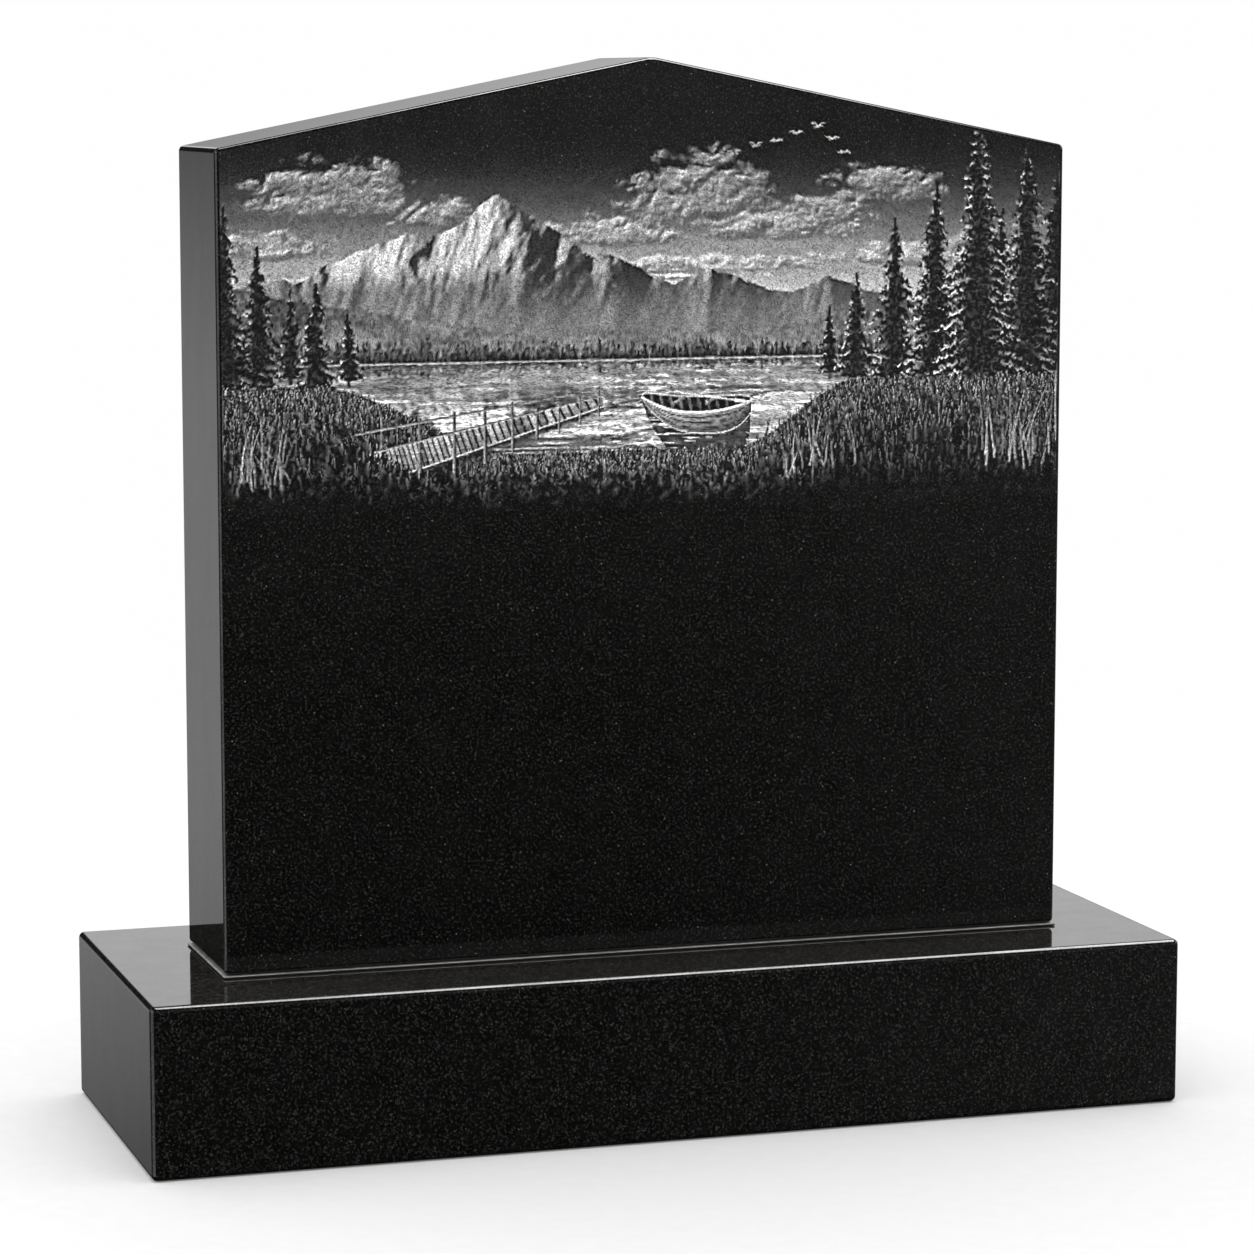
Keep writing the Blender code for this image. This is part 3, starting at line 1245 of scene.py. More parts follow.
@dataclass
class PictureLattice:
    """A lattice over the etched part of the face, gathered into larger cells wherever the picture is quiet.

    Columns run evenly across. Rows run evenly from the lattice's foot up to the gable, so they take its slope
    little by little. Points are counted row after row from the lower left.
    """

    half: float
    foot: float
    gable: Array
    columns: int = 800
    rows: int = 400
    sizes: tuple[int, ...] = (4, 2, 1)

    def places(self) -> tuple[Array, Array]:
        """Return the places across and the heights of all lattice points, as two grids."""
        x = np.linspace(-self.half, self.half, self.columns + 1)
        share = np.linspace(0.0, 1.0, self.rows + 1)[:, None]
        z = self.foot + share * (self.gable - self.foot)
        return np.broadcast_to(x, z.shape), z

    def loss(self, tone: Array, size: int) -> Array:
        """Add up how far the picture strays from a blend of each cell's corners, for one cell size.

        Args:
            tone: The picture's tone on the lattice.
            size: The cell's side, in lattice steps.

        Returns:
            The sum over each largest cell, as a grid of those.
        """
        most = self.sizes[0]
        down, across = self.rows // most, self.columns // most
        corner = tone[::size, ::size]
        total = np.zeros((self.rows // size, self.columns // size))
        for i in range(size):
            for j in range(size):
                u, v = j / size, i / size
                low = over(corner[:-1, :-1], corner[:-1, 1:], u)
                high = over(corner[1:, :-1], corner[1:, 1:], u)
                total += np.abs(tone[i:-1:size, j:-1:size] - low * (1.0 - v) - high * v)
        count = most // size
        return total.reshape(down, count, across, count).sum(axis=(1, 3))

    def choose(self, tone: Array, most_triangles: int) -> Array:
        """Pick each largest cell's splitting so that the triangles go where the picture gains most by them.

        Each splitting is charged its loss plus a price for its triangles. The price is found by halving, as
        the lowest at which the whole lattice stays under the allowed number.

        Args:
            tone: The picture's tone on the lattice.
            most_triangles: The allowed number.

        Returns:
            For each largest cell, the place of its cell size in sizes.
        """
        loss = np.stack([self.loss(tone, size) for size in self.sizes])
        charge = np.array([2.0 * (self.sizes[0] // size) ** 2 for size in self.sizes])[:, None, None]
        low, high = 0.0, 1.0
        for _ in range(24):
            price = (low + high) / 2.0
            choice = np.argmin(loss + price * charge, axis=0)
            if self.count(choice) > most_triangles:
                low = price
            else:
                high = price
        return np.argmin(loss + high * charge, axis=0)

    def chosen(self, choice: Array, level: int) -> tuple[Array, ...]:
        """Return the rows and the columns of the cells that got the cell size at a place in sizes."""
        many = self.sizes[0] // self.sizes[level]
        return np.nonzero(np.repeat(np.repeat(choice == level, many, axis=0), many, axis=1))

    def used(self, choice: Array) -> Array:
        """Mark the lattice points that are a corner of some cell.

        Args:
            choice: What choose gives.

        Returns:
            A grid of marks over the lattice.
        """
        marks = np.zeros((self.rows + 1, self.columns + 1), bool)
        for level, size in enumerate(self.sizes):
            row, column = self.chosen(choice, level)
            for i, j in ((0, 0), (0, 1), (1, 0), (1, 1)):
                marks[(row + i) * size, (column + j) * size] = True
        return marks

    def cells(self, choice: Array, marks: Array) -> tuple[Array, Array]:
        """List the cells' corners, with every marked point on a cell's sides among them, so no gap opens.

        Args:
            choice: What choose gives.
            marks: What used gives.

        Returns:
            Lattice indices of the corners, face after face, and the number in each.
        """
        corners, totals = [], []
        flat, wide = marks.ravel(), self.columns + 1
        for level, size in enumerate(self.sizes):
            row, column = self.chosen(choice, level)
            start = (row * size * wide + column * size)[:, None]
            step = np.arange(size)
            round_cell = np.concatenate(
                [step, size + step * wide, size * wide + size - step, (size - step) * wide]
            )
            places = start + round_cell[None]
            kept = flat[places]
            corners.append(places[kept])
            totals.append(kept.sum(axis=1))
        return np.concatenate(corners), np.concatenate(totals)

    def count(self, choice: Array) -> int:
        """Return the number of triangles that a choice comes to."""
        return int((self.cells(choice, self.used(choice))[1] - 2).sum())

    def border(self, marks: Array) -> Array:
        """Return the marked points up the right side, back along the top and down the left, by index."""
        index = np.arange(marks.size).reshape(marks.shape)
        line = np.concatenate([index[:, -1], index[-1, -2::-1], index[-2::-1, 0]])
        return line[marks.ravel()[line]]


@dataclass
class Tablet:
    """The upright stone: a gabled slab with the lake picture etched in the upper part of its face."""

    width: float
    thickness: float
    foot: float
    eaves_height: float = 0.696  # from the foot up to where a side meets the sloping top
    peak_rise: float = 0.076  # from the eaves up to the peak, before it is rounded
    peak_radius: float = 0.0262
    corner_radius: float = 0.005
    arris: float = 0.004
    picture_foot: float = 0.504
    picture_gap: float = 0.0004  # between the lattice and the rim
    crisp_reach: int = 3
    crispness: float = 0.75
    most_triangles: int = 191000
    border_triangles: int = 8  # at most, for each rim point, in the strip round the lattice
    plain_strips: int = 20
    side_steps: int = 26
    slope_steps: int = 30
    peak_steps: int = 8
    eaves_reach: float = 0.82  # how far the arc at the eaves comes down the side, in corner radii
    picture: LakePicture = field(default_factory=LakePicture)

    PICTURE_PATCH = Patch((0.004, 0.430), (0.996, 0.996))
    PLAIN_PATCH = Patch((0.004, 0.150), (0.500, 0.424))
    BACK_PATCH = Patch((0.506, 0.150), (0.996, 0.424))
    EDGE_PATCH = Patch((0.004, 0.004), (0.996, 0.144))

    @property
    def eaves(self) -> float:
        """Return the height of the eaves above the ground."""
        return self.foot + self.eaves_height

    def slab(self) -> EasedSlab:
        """Return the slab, with extra rim places under the picture's columns and along its sides."""
        half = self.width / 2.0
        corners = (
            Corner(-half, self.foot, self.corner_radius),
            Corner(half, self.foot, self.corner_radius),
            Corner(half, self.eaves, self.corner_radius),
            Corner(0.0, self.eaves + self.peak_rise, self.peak_radius, self.peak_steps),
            Corner(-half, self.eaves, self.corner_radius),
        )
        inner = half - self.corner_radius
        columns = self.column_places()
        low, high = self.foot + self.corner_radius, self.eaves - self.corner_radius * self.eaves_reach
        rise = (self.picture_foot - low) / (high - low)
        side = rise + (1.0 - rise) * np.arange(self.side_steps) / self.side_steps
        slope = np.arange(1, self.slope_steps) / self.slope_steps
        stations = ((columns + inner) / (2.0 * inner), side, slope, slope, 1.0 - side[::-1])
        return EasedSlab(corners, self.thickness, self.arris, UPRIGHT, np.zeros(3), stations)

    def lattice_half(self) -> float:
        """Return half the lattice's width: the rim's, less the gap."""
        return self.width / 2.0 - self.arris - self.picture_gap

    def column_places(self) -> Array:
        """Return the places across of the lattice columns that the plain face below is cut along."""
        half = self.lattice_half()
        return np.linspace(-half, half, self.plain_strips + 1)[1:-1]

    def gable(self, x: Array) -> Array:
        """Work out the top of the lattice: the gable's line, rounded about the peak, moved inwards.

        Beyond the rounded part the line is straight. Within it the height is that of a circle about the
        centre of the peak's rounding, whose radius is less by the arris and the gap.

        Args:
            x: Places across.

        Returns:
            Heights.
        """
        slope = math.atan2(self.peak_rise, self.width / 2.0)
        radius = self.peak_radius - self.arris - self.picture_gap
        centre = self.eaves + self.peak_rise - self.peak_radius / math.cos(slope)
        reach = radius * math.sin(slope)
        line = centre + radius / math.cos(slope) - np.abs(x) * math.tan(slope)
        arc = centre + np.sqrt(np.clip(radius**2 - x**2, 0.0, None))
        return np.where(np.abs(x) < reach, arc, line)

    def on_map(self, x: Array, z: Array) -> Array:
        """Place points of the face in the bake's map, which gives the picture most of its room.

        Args:
            x: Places across.
            z: Heights.

        Returns:
            Map places, one row each.
        """
        across = (x + self.width / 2.0) / self.width
        top = self.eaves + self.peak_rise
        pictured = self.PICTURE_PATCH.place(across, (z - self.picture_foot) / (top - self.picture_foot))
        plain = self.PLAIN_PATCH.place(across, (z - self.foot) / (self.picture_foot - self.foot))
        return np.where((z >= self.picture_foot - TOUCH)[:, None], pictured, plain)

    def build(self, finish: "EtchedGranite") -> bpy.types.Object:
        """Build the tablet with its picture.

        Args:
            finish: The finish of the face, back and edge, and of the foot, which nothing shows.

        Returns:
            The tablet, riding on the stone and standing for its node.
        """
        parts = MeshParts()
        slab = self.slab()
        rim = slab.rim()
        start = rim.nearest(-self.width / 2.0, self.picture_foot)
        rim = Rim(np.roll(rim.points, -start, axis=0), np.roll(rim.outward, -start, axis=0))
        face_ring, back_ring = slab.wrap(parts, rim, self.EDGE_PATCH)
        slab.cap(parts, back_ring, rim, self.BACK_PATCH, back=True)

        columns = np.linspace(-self.lattice_half(), self.lattice_half(), PictureLattice.columns + 1)
        lattice = PictureLattice(self.lattice_half(), self.picture_foot, self.gable(columns))
        x, z = (grid.ravel() for grid in lattice.places())
        every_x = np.concatenate([x, rim.points[:, 0]])
        every_z = np.concatenate([z, rim.points[:, 1]])
        drawn = self.picture.draw(every_x, every_z)
        grid = (lattice.rows + 1, lattice.columns + 1)
        picture = drawn.tone[: x.size].reshape(grid)
        drawn.tone[: x.size] = crispen(picture, self.crisp_reach, self.crispness).ravel()
        cover = self.picture.cover(every_x, every_z)
        seen = (drawn.tone * cover)[: x.size].reshape(grid)
        taken = parts.triangles() + self.border_triangles * len(rim.points)
        choice = lattice.choose(seen, self.most_triangles - taken)
        marks = lattice.used(choice)
        kept = np.flatnonzero(marks.ravel())
        ahead = np.tile((0.0, -1.0, 0.0), (len(kept), 1))
        depth = np.full(len(kept), self.thickness / 2.0)
        first = parts.add_points(slab.placed(x[kept], z[kept], depth), ahead)
        number = np.zeros(marks.size, int)
        number[kept] = first + np.arange(len(kept))

        corners, totals = lattice.cells(choice, marks)
        parts.add_faces(number[corners], totals, self.on_map(x[corners], z[corners]))
        places = np.zeros((parts.count, 2))
        places[face_ring] = rim.points
        places[first:] = np.stack([x[kept], z[kept]], axis=1)
        self.join_border(parts, rim, face_ring, number[lattice.border(marks)], places)
        bottom = number[: lattice.columns + 1][marks[0]]
        self.add_plain_face(parts, rim, face_ring, bottom, places)

        made = parts.build(Node.TABLET.value + "_stone", [finish.material()], mapped=True)
        for mark, values in zip(Mark, (drawn.tone, cover, drawn.upright, drawn.level)):
            spread = np.zeros(parts.count, np.float32)
            spread[face_ring] = values[x.size :]
            spread[first:] = values[kept]
            made.data.attributes.new(mark.value, "FLOAT", "POINT").data.foreach_set("value", spread)
        return settle(made, Node.TABLET)

    def join_border(self, parts: MeshParts, rim: Rim, ring: Array, border: Array, places: Array) -> None:
        """Fill the narrow strip between the lattice's border and the rim.

        Each rim point above the picture's foot is matched with the nearest border point, and a face runs from
        one match to the next with all border points between them.

        Args:
            parts: Where the faces go.
            rim: The path round the face, from the picture's foot on the left.
            ring: Indices of the rim's points.
            border: Indices of the lattice's border, from the lower right round to the lower left.
            places: Places across and heights of all points so far.
        """
        start = rim.nearest(self.width / 2.0, self.picture_foot)
        path = np.concatenate([ring[start:], ring[:1]])
        gap = places[path][:, None] - places[border][None]
        match = np.maximum.accumulate(np.argmin((gap**2).sum(axis=2), axis=1))
        match[0], match[-1] = 0, len(border) - 1
        faces = [
            np.concatenate([path[k : k + 2], border[match[k] : match[k + 1] + 1][::-1]])
            for k in range(len(path) - 1)
        ]
        corners = np.concatenate(faces)
        totals = np.array([len(face) for face in faces])
        spots = self.on_map(places[corners, 0], np.maximum(places[corners, 1], self.picture_foot))
        parts.add_faces(corners, totals, spots)

    def add_plain_face(self, parts: MeshParts, rim: Rim, ring: Array, bottom: Array, places: Array) -> None:
        """Fill the face below the picture with upright strips, cut along some of the lattice's columns.

        Args:
            parts: Where the faces go.
            rim: The path round the face, from the picture's foot on the left.
            ring: Indices of the rim's points.
            bottom: Indices of the lattice's lowest points, from left to right.
            places: Places across and heights of all points so far.
        """
        cuts = self.column_places()
        above = [int(np.argmin(np.abs(places[bottom, 0] - cut))) for cut in cuts]
        on_foot = rim.points[:, 1] < self.foot + self.arris + TOUCH
        distance = np.where(on_foot, np.abs(rim.points[:, 0] - cuts[:, None]), np.inf)
        below = list(np.argmin(distance, axis=1))
        right = rim.nearest(self.width / 2.0, self.picture_foot)
        lows, highs = [0] + below + [right], [0] + above + [len(bottom) - 1]
        faces = [
            np.concatenate([ring[lows[k] : lows[k + 1] + 1], bottom[highs[k] : highs[k + 1] + 1][::-1]])
            for k in range(len(cuts) + 1)
        ]
        corners = np.concatenate(faces)
        totals = np.array([len(face) for face in faces])
        across = (places[corners, 0] + self.width / 2.0) / self.width
        up = (places[corners, 1] - self.foot) / (self.picture_foot - self.foot)
        parts.add_faces(corners, totals, self.PLAIN_PATCH.place(across, np.clip(up, 0.0, 1.0)))


@dataclass
class BaseBlock:
    """The wider block that the tablet stands on, polished all round and sawn underneath."""

    width: float
    depth: float
    height: float
    arris: float = 0.005
    corner_radius: float = 0.0055

    def build(self, finish: "Granite", sawn: "SawnGranite") -> bpy.types.Object:
        """Build the block as a lying slab whose face is its top.

        Args:
            finish: The finish of the top and sides.
            sawn: The finish of the underside.

        Returns:
            The block, riding on the stone and standing for its node.
        """
        outline = rectangle(self.width, self.depth, self.corner_radius)
        centre = np.array([0.0, 0.0, self.height / 2.0])
        slab = EasedSlab(outline, self.height, self.arris, LYING, centre)
        parts = slab.whole(slab.rim(), back_finish=1)
        made = parts.build(Node.BASE.value + "_stone", [finish.material(), sawn.material()])
        return settle(made, Node.BASE)


@dataclass
class SettingBed:
    """The bead of setting compound that the tablet stands in: a thin layer with a rounded, uneven edge."""

    width: float
    depth: float
    height: float
    foot: float
    edge: float = 0.00095
    drawn_in: float = 0.0012
    unevenness: float = 0.0006
    pitch: float = 0.003
    corner_radius: float = 0.0020
    edge_steps: int = 4

    def build(self, finish: "Compound") -> bpy.types.Object:
        """Build the bed as a lying slab, its rim drawn in here and there by smooth noise.

        Args:
            finish: The compound's finish.

        Returns:
            The bed, riding on the stone and standing for its node.
        """
        outline = rectangle(self.width, self.depth, self.corner_radius)
        counts = [round(length / self.pitch) for length in (self.width, self.depth, self.width, self.depth)]
        stations = tuple(np.arange(1, count) / count for count in counts)
        centre = np.array([0.0, 0.0, self.foot + self.height / 2.0])
        slab = EasedSlab(outline, self.height, self.edge, LYING, centre, stations, self.edge_steps)
        rim = slab.rim()
        wander = fractal(rim.points[:, 0] * 60.0, rim.points[:, 1] * 60.0, 301, 4)
        rim.points = rim.points - rim.outward * (self.drawn_in + self.unevenness * wander)[:, None]
        made = slab.whole(rim).build(Node.BED.value + "_bead", [finish.material()])
        return settle(made, Node.BED)


def settle(made: bpy.types.Object, node: Node) -> bpy.types.Object:
    """Make a finished piece ride on the stone in the place of its node, and report it.

    Args:
        made: The piece.
        node: The node that it stands for.

    Returns:
        The piece.
    """
    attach(made, BODY)
    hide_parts(node.value)
    LOG.info("%s: %d points, %d faces", made.name, len(made.data.vertices), len(made.data.polygons))
    return made


class NodeSheet:
    """Lays shader nodes on a tree and joins them, so that a finish is written as sums on sockets."""

    def __init__(self, tree: bpy.types.NodeTree) -> None:
        """Start with an empty tree."""
        tree.nodes.clear()
        self.tree = tree

    def add(
        self, kind: str, inputs: dict[str | int, object] | None = None, **settings: object
    ) -> bpy.types.Node:
        """Add a node.

        Args:
            kind: The node's type, without the leading ShaderNode.
            inputs: What goes into its sockets, by name or number: another socket or a plain value.
            settings: Values of the node's own properties.

        Returns:
            The node.
        """
        node = self.tree.nodes.new("ShaderNode" + kind)
        for name, value in settings.items():
            setattr(node, name, value)
        for name, value in (inputs or {}).items():
            if isinstance(value, Socket):
                self.tree.links.new(value, node.inputs[name])
            else:
                node.inputs[name].default_value = value
        return node

    def math(self, operation: str, *values: Socket | float, clamp: bool = False) -> Socket:
        """Return a sum of values by the operation's name, such as MULTIPLY, kept from 0 to 1 by clamp."""
        inputs = dict(enumerate(values))
        return self.add("Math", inputs, operation=operation, use_clamp=clamp).outputs[0]

    def ease(self, value: Socket, low: float, high: float, start: float = 0.0, end: float = 1.0) -> Socket:
        """Return what eases from start to end as the value passes from low to high."""
        inputs = {"Value": value, "From Min": low, "From Max": high, "To Min": start, "To Max": end}
        return self.add("MapRange", inputs, interpolation_type="SMOOTHSTEP").outputs[0]

    def mix(self, factor: Socket | float, below: Socket | Triple, above: Socket | Triple) -> Socket:
        """Return a mix of two colours: all below where the factor is 0, and all above where it is 1."""
        colours = [value if isinstance(value, Socket) else (*value, 1.0) for value in (below, above)]
        inputs = {0: factor, 6: colours[0], 7: colours[1]}
        return self.add("Mix", inputs, data_type="RGBA").outputs[2]

    def blend(self, factor: Socket | float, below: Socket | float, above: Socket | float) -> Socket:
        """Return a mix of two numbers: all below where the factor is 0, and all above where it is 1."""
        return self.add("Mix", {0: factor, 2: below, 3: above}, data_type="FLOAT").outputs[0]

    def sum_colours(self, first: Socket, second: Socket) -> Socket:
        """Return one colour added to another."""
        inputs = {0: 1.0, 6: first, 7: second}
        return self.add("Mix", inputs, data_type="RGBA", blend_type="ADD").outputs[2]

    def places(self, scale: Triple = (1.0, 1.0, 1.0)) -> Socket:
        """Return places on the object in metres, stretched by scale."""
        place = self.add("TexCoord").outputs["Object"]
        return self.add("Mapping", {"Vector": place, "Scale": scale}).outputs[0]

    def noise(
        self, vector: Socket, scale: float, detail: float = 3.0, roughness: float = 0.5, twist: float = 0.0
    ) -> Socket:
        """Return fractal noise about 0.5, with scale lumps in a metre and drawn out by a twist of its own."""
        inputs = {"Vector": vector, "Scale": scale, "Detail": detail, "Roughness": roughness}
        return self.add("TexNoise", {**inputs, "Distortion": twist}).outputs[0]

    def ridges(self, noise: Socket) -> Socket:
        """Return a noise folded so that it is 1 along thin curling lines and falls to either side."""
        doubled = self.math("MULTIPLY_ADD", noise, 2.0, -1.0)
        return self.math("SUBTRACT", 1.0, self.math("ABSOLUTE", doubled))

    def attribute(self, mark: Mark) -> Socket:
        """Return the number that the mesh carries under a mark."""
        return self.add("Attribute", attribute_name=mark.value, attribute_type="GEOMETRY").outputs["Fac"]

    def grey(self, value: Socket) -> Socket:
        """Return a grey of a given strength."""
        return self.add("CombineColor", {0: value, 1: value, 2: value}).outputs[0]

    def finish_with(self, shader: bpy.types.Node, output: str = "OutputMaterial") -> None:
        """Join a shader to the tree's output."""
        self.add(output, {"Surface": shader.outputs[0]})


def new_sheet(name: str) -> tuple[bpy.types.Material, NodeSheet]:
    """Make a material with an empty node sheet.

    Args:
        name: The material's name.

    Returns:
        The material and its sheet.
    """
    material = bpy.data.materials.new(name)
    material.use_nodes = True
    return material, NodeSheet(material.node_tree)


@dataclass(frozen=True)
class Curls:
    """Thin pale veins of one size, in patches.

    scale is the number of veins in a metre and spacing that of patches. A patch starts where its noise is
    above scarce, and a vein where its fold is above thin.
    """

    scale: float
    spacing: float
    scarce: float
    thin: float
    patch_edge: float = 0.22


@dataclass(frozen=True)
class Flakes:
    """Bright crystals of one size: cells in a metre, the share of them left dark, and their reach."""

    scale: float
    rarity: float
    reach: float
    core: float = 0.10
    fading: float = 3.2  # the higher, the fewer are bright


@dataclass(frozen=True)
class Granite:
    """Polished black granite: a near-black ground mottled by fine crystals, with pale and golden flakes."""

    name: str = "polished_black_granite"
    dark: Triple = (0.0004, 0.0004, 0.0003)
    light: Triple = (0.0053, 0.0051, 0.0048)
    vein: Triple = (0.032, 0.032, 0.031)
    flake: Triple = (0.20, 0.20, 0.20)
    gold: Triple = (0.20, 0.175, 0.135)
    # painted light: the next four set a warm grey that is added in patches to what lies above a height, the
    # block's top, lightening it as light from above would
    top_light: Triple = (0.0110, 0.0102, 0.0090)
    top_light_above: float = 0.1466
    top_light_edge: float = 0.0006
    top_light_least: float = 0.20
    polish: float = 0.040
    dulling: float = 0.035
    ior: float = 1.55
    faint: float = 0.38
    strong: float = 0.60
    curls: tuple[Curls, ...] = (Curls(440.0, 480.0, 0.46, 0.84), Curls(250.0, 330.0, 0.52, 0.91))
    flakes: tuple[Flakes, ...] = (Flakes(520.0, 0.975, 0.40), Flakes(330.0, 0.992, 0.30))

    def colour(self, sheet: NodeSheet) -> Socket:
        """Lay the stone's colour.

        Two sizes of noise mottle the ground. Two sizes of folded noise, each kept to patches, draw faint
        curling veins. Two sizes of crystals are picked by chance, and each picked crystal is a small flake,
        brighter and warmer by chance.

        Args:
            sheet: Where the nodes go.

        Returns:
            The colour's socket.
        """
        place = sheet.places()
        fine = sheet.noise(place, 680.0, 2.0, 0.6)
        broad = sheet.noise(place, 60.0, 3.0, 0.55)
        mottle = sheet.math("MULTIPLY_ADD", broad, 0.22, sheet.math("MULTIPLY", fine, 0.90))
        colour = sheet.mix(sheet.ease(mottle, 0.43, 0.76), self.dark, self.light)
        for curls in self.curls:
            folds = sheet.ridges(sheet.noise(place, curls.scale, 1.0, 0.5, 0.8))
            patches = sheet.noise(place, curls.spacing, 1.0)
            patches = sheet.ease(patches, curls.scarce, curls.scarce + curls.patch_edge)
            cover = sheet.math("MULTIPLY", sheet.ease(folds, curls.thin, 1.0), patches)
            colour = sheet.mix(cover, colour, self.vein)
        for flakes in self.flakes:
            crystal = sheet.add("TexVoronoi", {"Vector": place, "Scale": flakes.scale})
            parts = sheet.add("SeparateColor", {0: crystal.outputs["Color"]})
            picked = sheet.math("GREATER_THAN", parts.outputs[0], flakes.rarity)
            shape = sheet.ease(crystal.outputs["Distance"], flakes.reach, flakes.core)
            bright = sheet.math("POWER", parts.outputs[1], flakes.fading)
            cover = sheet.math("MULTIPLY", picked, sheet.math("MULTIPLY", shape, bright))
            tint = sheet.mix(sheet.ease(parts.outputs[2], 0.25, 0.75), self.flake, self.gold)
            colour = sheet.mix(cover, colour, tint)
        return colour

    def roughness(self, sheet: NodeSheet) -> Socket:
        """Return the polish, slightly duller on some crystals."""
        crystals = sheet.noise(sheet.places(), 300.0, 2.0)
        return sheet.ease(crystals, 0.35, 0.75, self.polish, self.polish + self.dulling)

    def mirror(self, sheet: NodeSheet) -> Socket:
        """Return how strongly the polish mirrors, uneven by crystals and in broad faint clouds."""
        crystals = sheet.noise(sheet.places((1.0, 1.0, 0.6)), 420.0, 2.0)
        clouds = sheet.noise(sheet.places((1.0, 1.0, 0.5)), 26.0, 3.0, 0.6)
        mixed = sheet.math("MULTIPLY_ADD", clouds, 0.6, sheet.math("MULTIPLY", crystals, 0.4))
        return sheet.ease(mixed, 0.36, 0.64, self.faint, self.strong)

    def material(self) -> bpy.types.Material:
        """Return the finish as a material, with painted light, a warm grey in patches, added on what lies
        above a height.
        """
        material, sheet = new_sheet(self.name)
        level = sheet.add("SeparateXYZ", {0: sheet.places()}).outputs[2]
        top_light_share = sheet.ease(sheet.noise(sheet.places(), 330.0, 2.0, 0.6), 0.38, 0.66, self.top_light_least, 1.0)
        lying = sheet.ease(level, self.top_light_above - self.top_light_edge, self.top_light_above)
        cover = sheet.math("MULTIPLY", lying, top_light_share)
        # painted light on the top, standing in for the light from above
        lit_top = sheet.mix(cover, (0.0, 0.0, 0.0), self.top_light)
        colour = sheet.sum_colours(self.colour(sheet), lit_top)
        inputs = {"Base Color": colour, "Roughness": self.roughness(sheet), "IOR": self.ior}
        inputs["Specular IOR Level"] = self.mirror(sheet)
        sheet.finish_with(sheet.add("BsdfPrincipled", inputs))
        return material


@dataclass(frozen=True)
class EtchedGranite(Granite):
    """The same granite, with the picture cut through its polish in fine strokes that show pale and matt."""

    name: str = "etched_black_granite"
    light_on_face: float = 0.72
    matt: float = 0.55
    gamma: float = 2.2
    contrast: float = 0.78
    speckle: float = 0.30
    cut_depth: float = 0.0001

    def strokes(self, sheet: NodeSheet) -> Socket:
        """Lay the marks of the etcher's tool.

        They are ridges of noise, which curl where both marks are 0. Stretched upwards they are blades, and
        stretched sideways ripples. A share of fine specks is mixed in.

        Args:
            sheet: Where the nodes go.

        Returns:
            A socket about 1, above on a stroke and below between strokes.
        """
        curl = sheet.ridges(sheet.noise(sheet.places(), 400.0, 1.0, 0.5, 1.6))
        blade = sheet.ridges(sheet.noise(sheet.places((1.0, 1.0, 0.30)), 560.0, 2.0, 0.5, 0.3))
        ripple = sheet.ridges(sheet.noise(sheet.places((0.28, 1.0, 1.0)), 560.0, 2.0, 0.5, 0.3))
        grain = sheet.blend(sheet.attribute(Mark.UPRIGHT), curl, blade)
        grain = sheet.blend(sheet.attribute(Mark.LEVEL), grain, ripple)
        grain = sheet.ease(grain, 0.72, 1.0)
        speck = sheet.ease(sheet.noise(sheet.places(), 900.0, 2.0, 0.6), 0.34, 0.66)
        grain = sheet.blend(self.speckle, grain, speck)
        return sheet.blend(grain, 1.0 - self.contrast, 1.0 + self.contrast)

    def material(self) -> bpy.types.Material:
        """Return the finish as a material whose marks add pale stone to the polished ground."""
        material, sheet = new_sheet(self.name)
        cover = sheet.attribute(Mark.COVER)
        tone = sheet.attribute(Mark.TONE)
        strokes = self.strokes(sheet)
        pale = sheet.math("DIVIDE", sheet.math("POWER", tone, self.gamma), self.light_on_face)
        pale = sheet.math("MULTIPLY", sheet.math("MULTIPLY", pale, strokes), cover)
        colour = sheet.sum_colours(self.colour(sheet), sheet.grey(pale))
        cut = sheet.math("MULTIPLY", cover, sheet.ease(tone, 0.05, 0.30))
        rough = sheet.blend(cut, self.roughness(sheet), self.matt)
        height = sheet.math("MULTIPLY", strokes, cut)
        bump = sheet.add("Bump", {"Strength": 0.25, "Distance": self.cut_depth, "Height": height})
        inputs = {"Base Color": colour, "Roughness": rough, "IOR": self.ior, "Normal": bump.outputs[0]}
        inputs["Specular IOR Level"] = self.mirror(sheet)
        sheet.finish_with(sheet.add("BsdfPrincipled", inputs))
        return material


@dataclass(frozen=True)
class SawnGranite:
    """Granite as the saw leaves it: dull grey, with faint straight saw lines and broken crystals."""

    name: str = "sawn_black_granite"
    dark: Triple = (0.030, 0.030, 0.031)
    light: Triple = (0.075, 0.075, 0.074)
    matt: float = 0.78

    def material(self) -> bpy.types.Material:
        """Return the finish as a material: noise for the crystals and stretched noise for the saw's lines."""
        material, sheet = new_sheet(self.name)
        crystals = sheet.noise(sheet.places(), 380.0, 4.0, 0.65)
        lines = sheet.noise(sheet.places((1.0, 0.02, 1.0)), 260.0, 3.0, 0.6)
        mixed = sheet.math("MULTIPLY_ADD", crystals, 0.7, sheet.math("MULTIPLY", lines, 0.3))
        colour = sheet.mix(sheet.ease(mixed, 0.35, 0.65), self.dark, self.light)
        bump = sheet.add("Bump", {"Strength": 0.6, "Distance": 0.0004, "Height": mixed})
        inputs = {"Base Color": colour, "Roughness": self.matt, "Normal": bump.outputs[0]}
        sheet.finish_with(sheet.add("BsdfPrincipled", inputs))
        return material


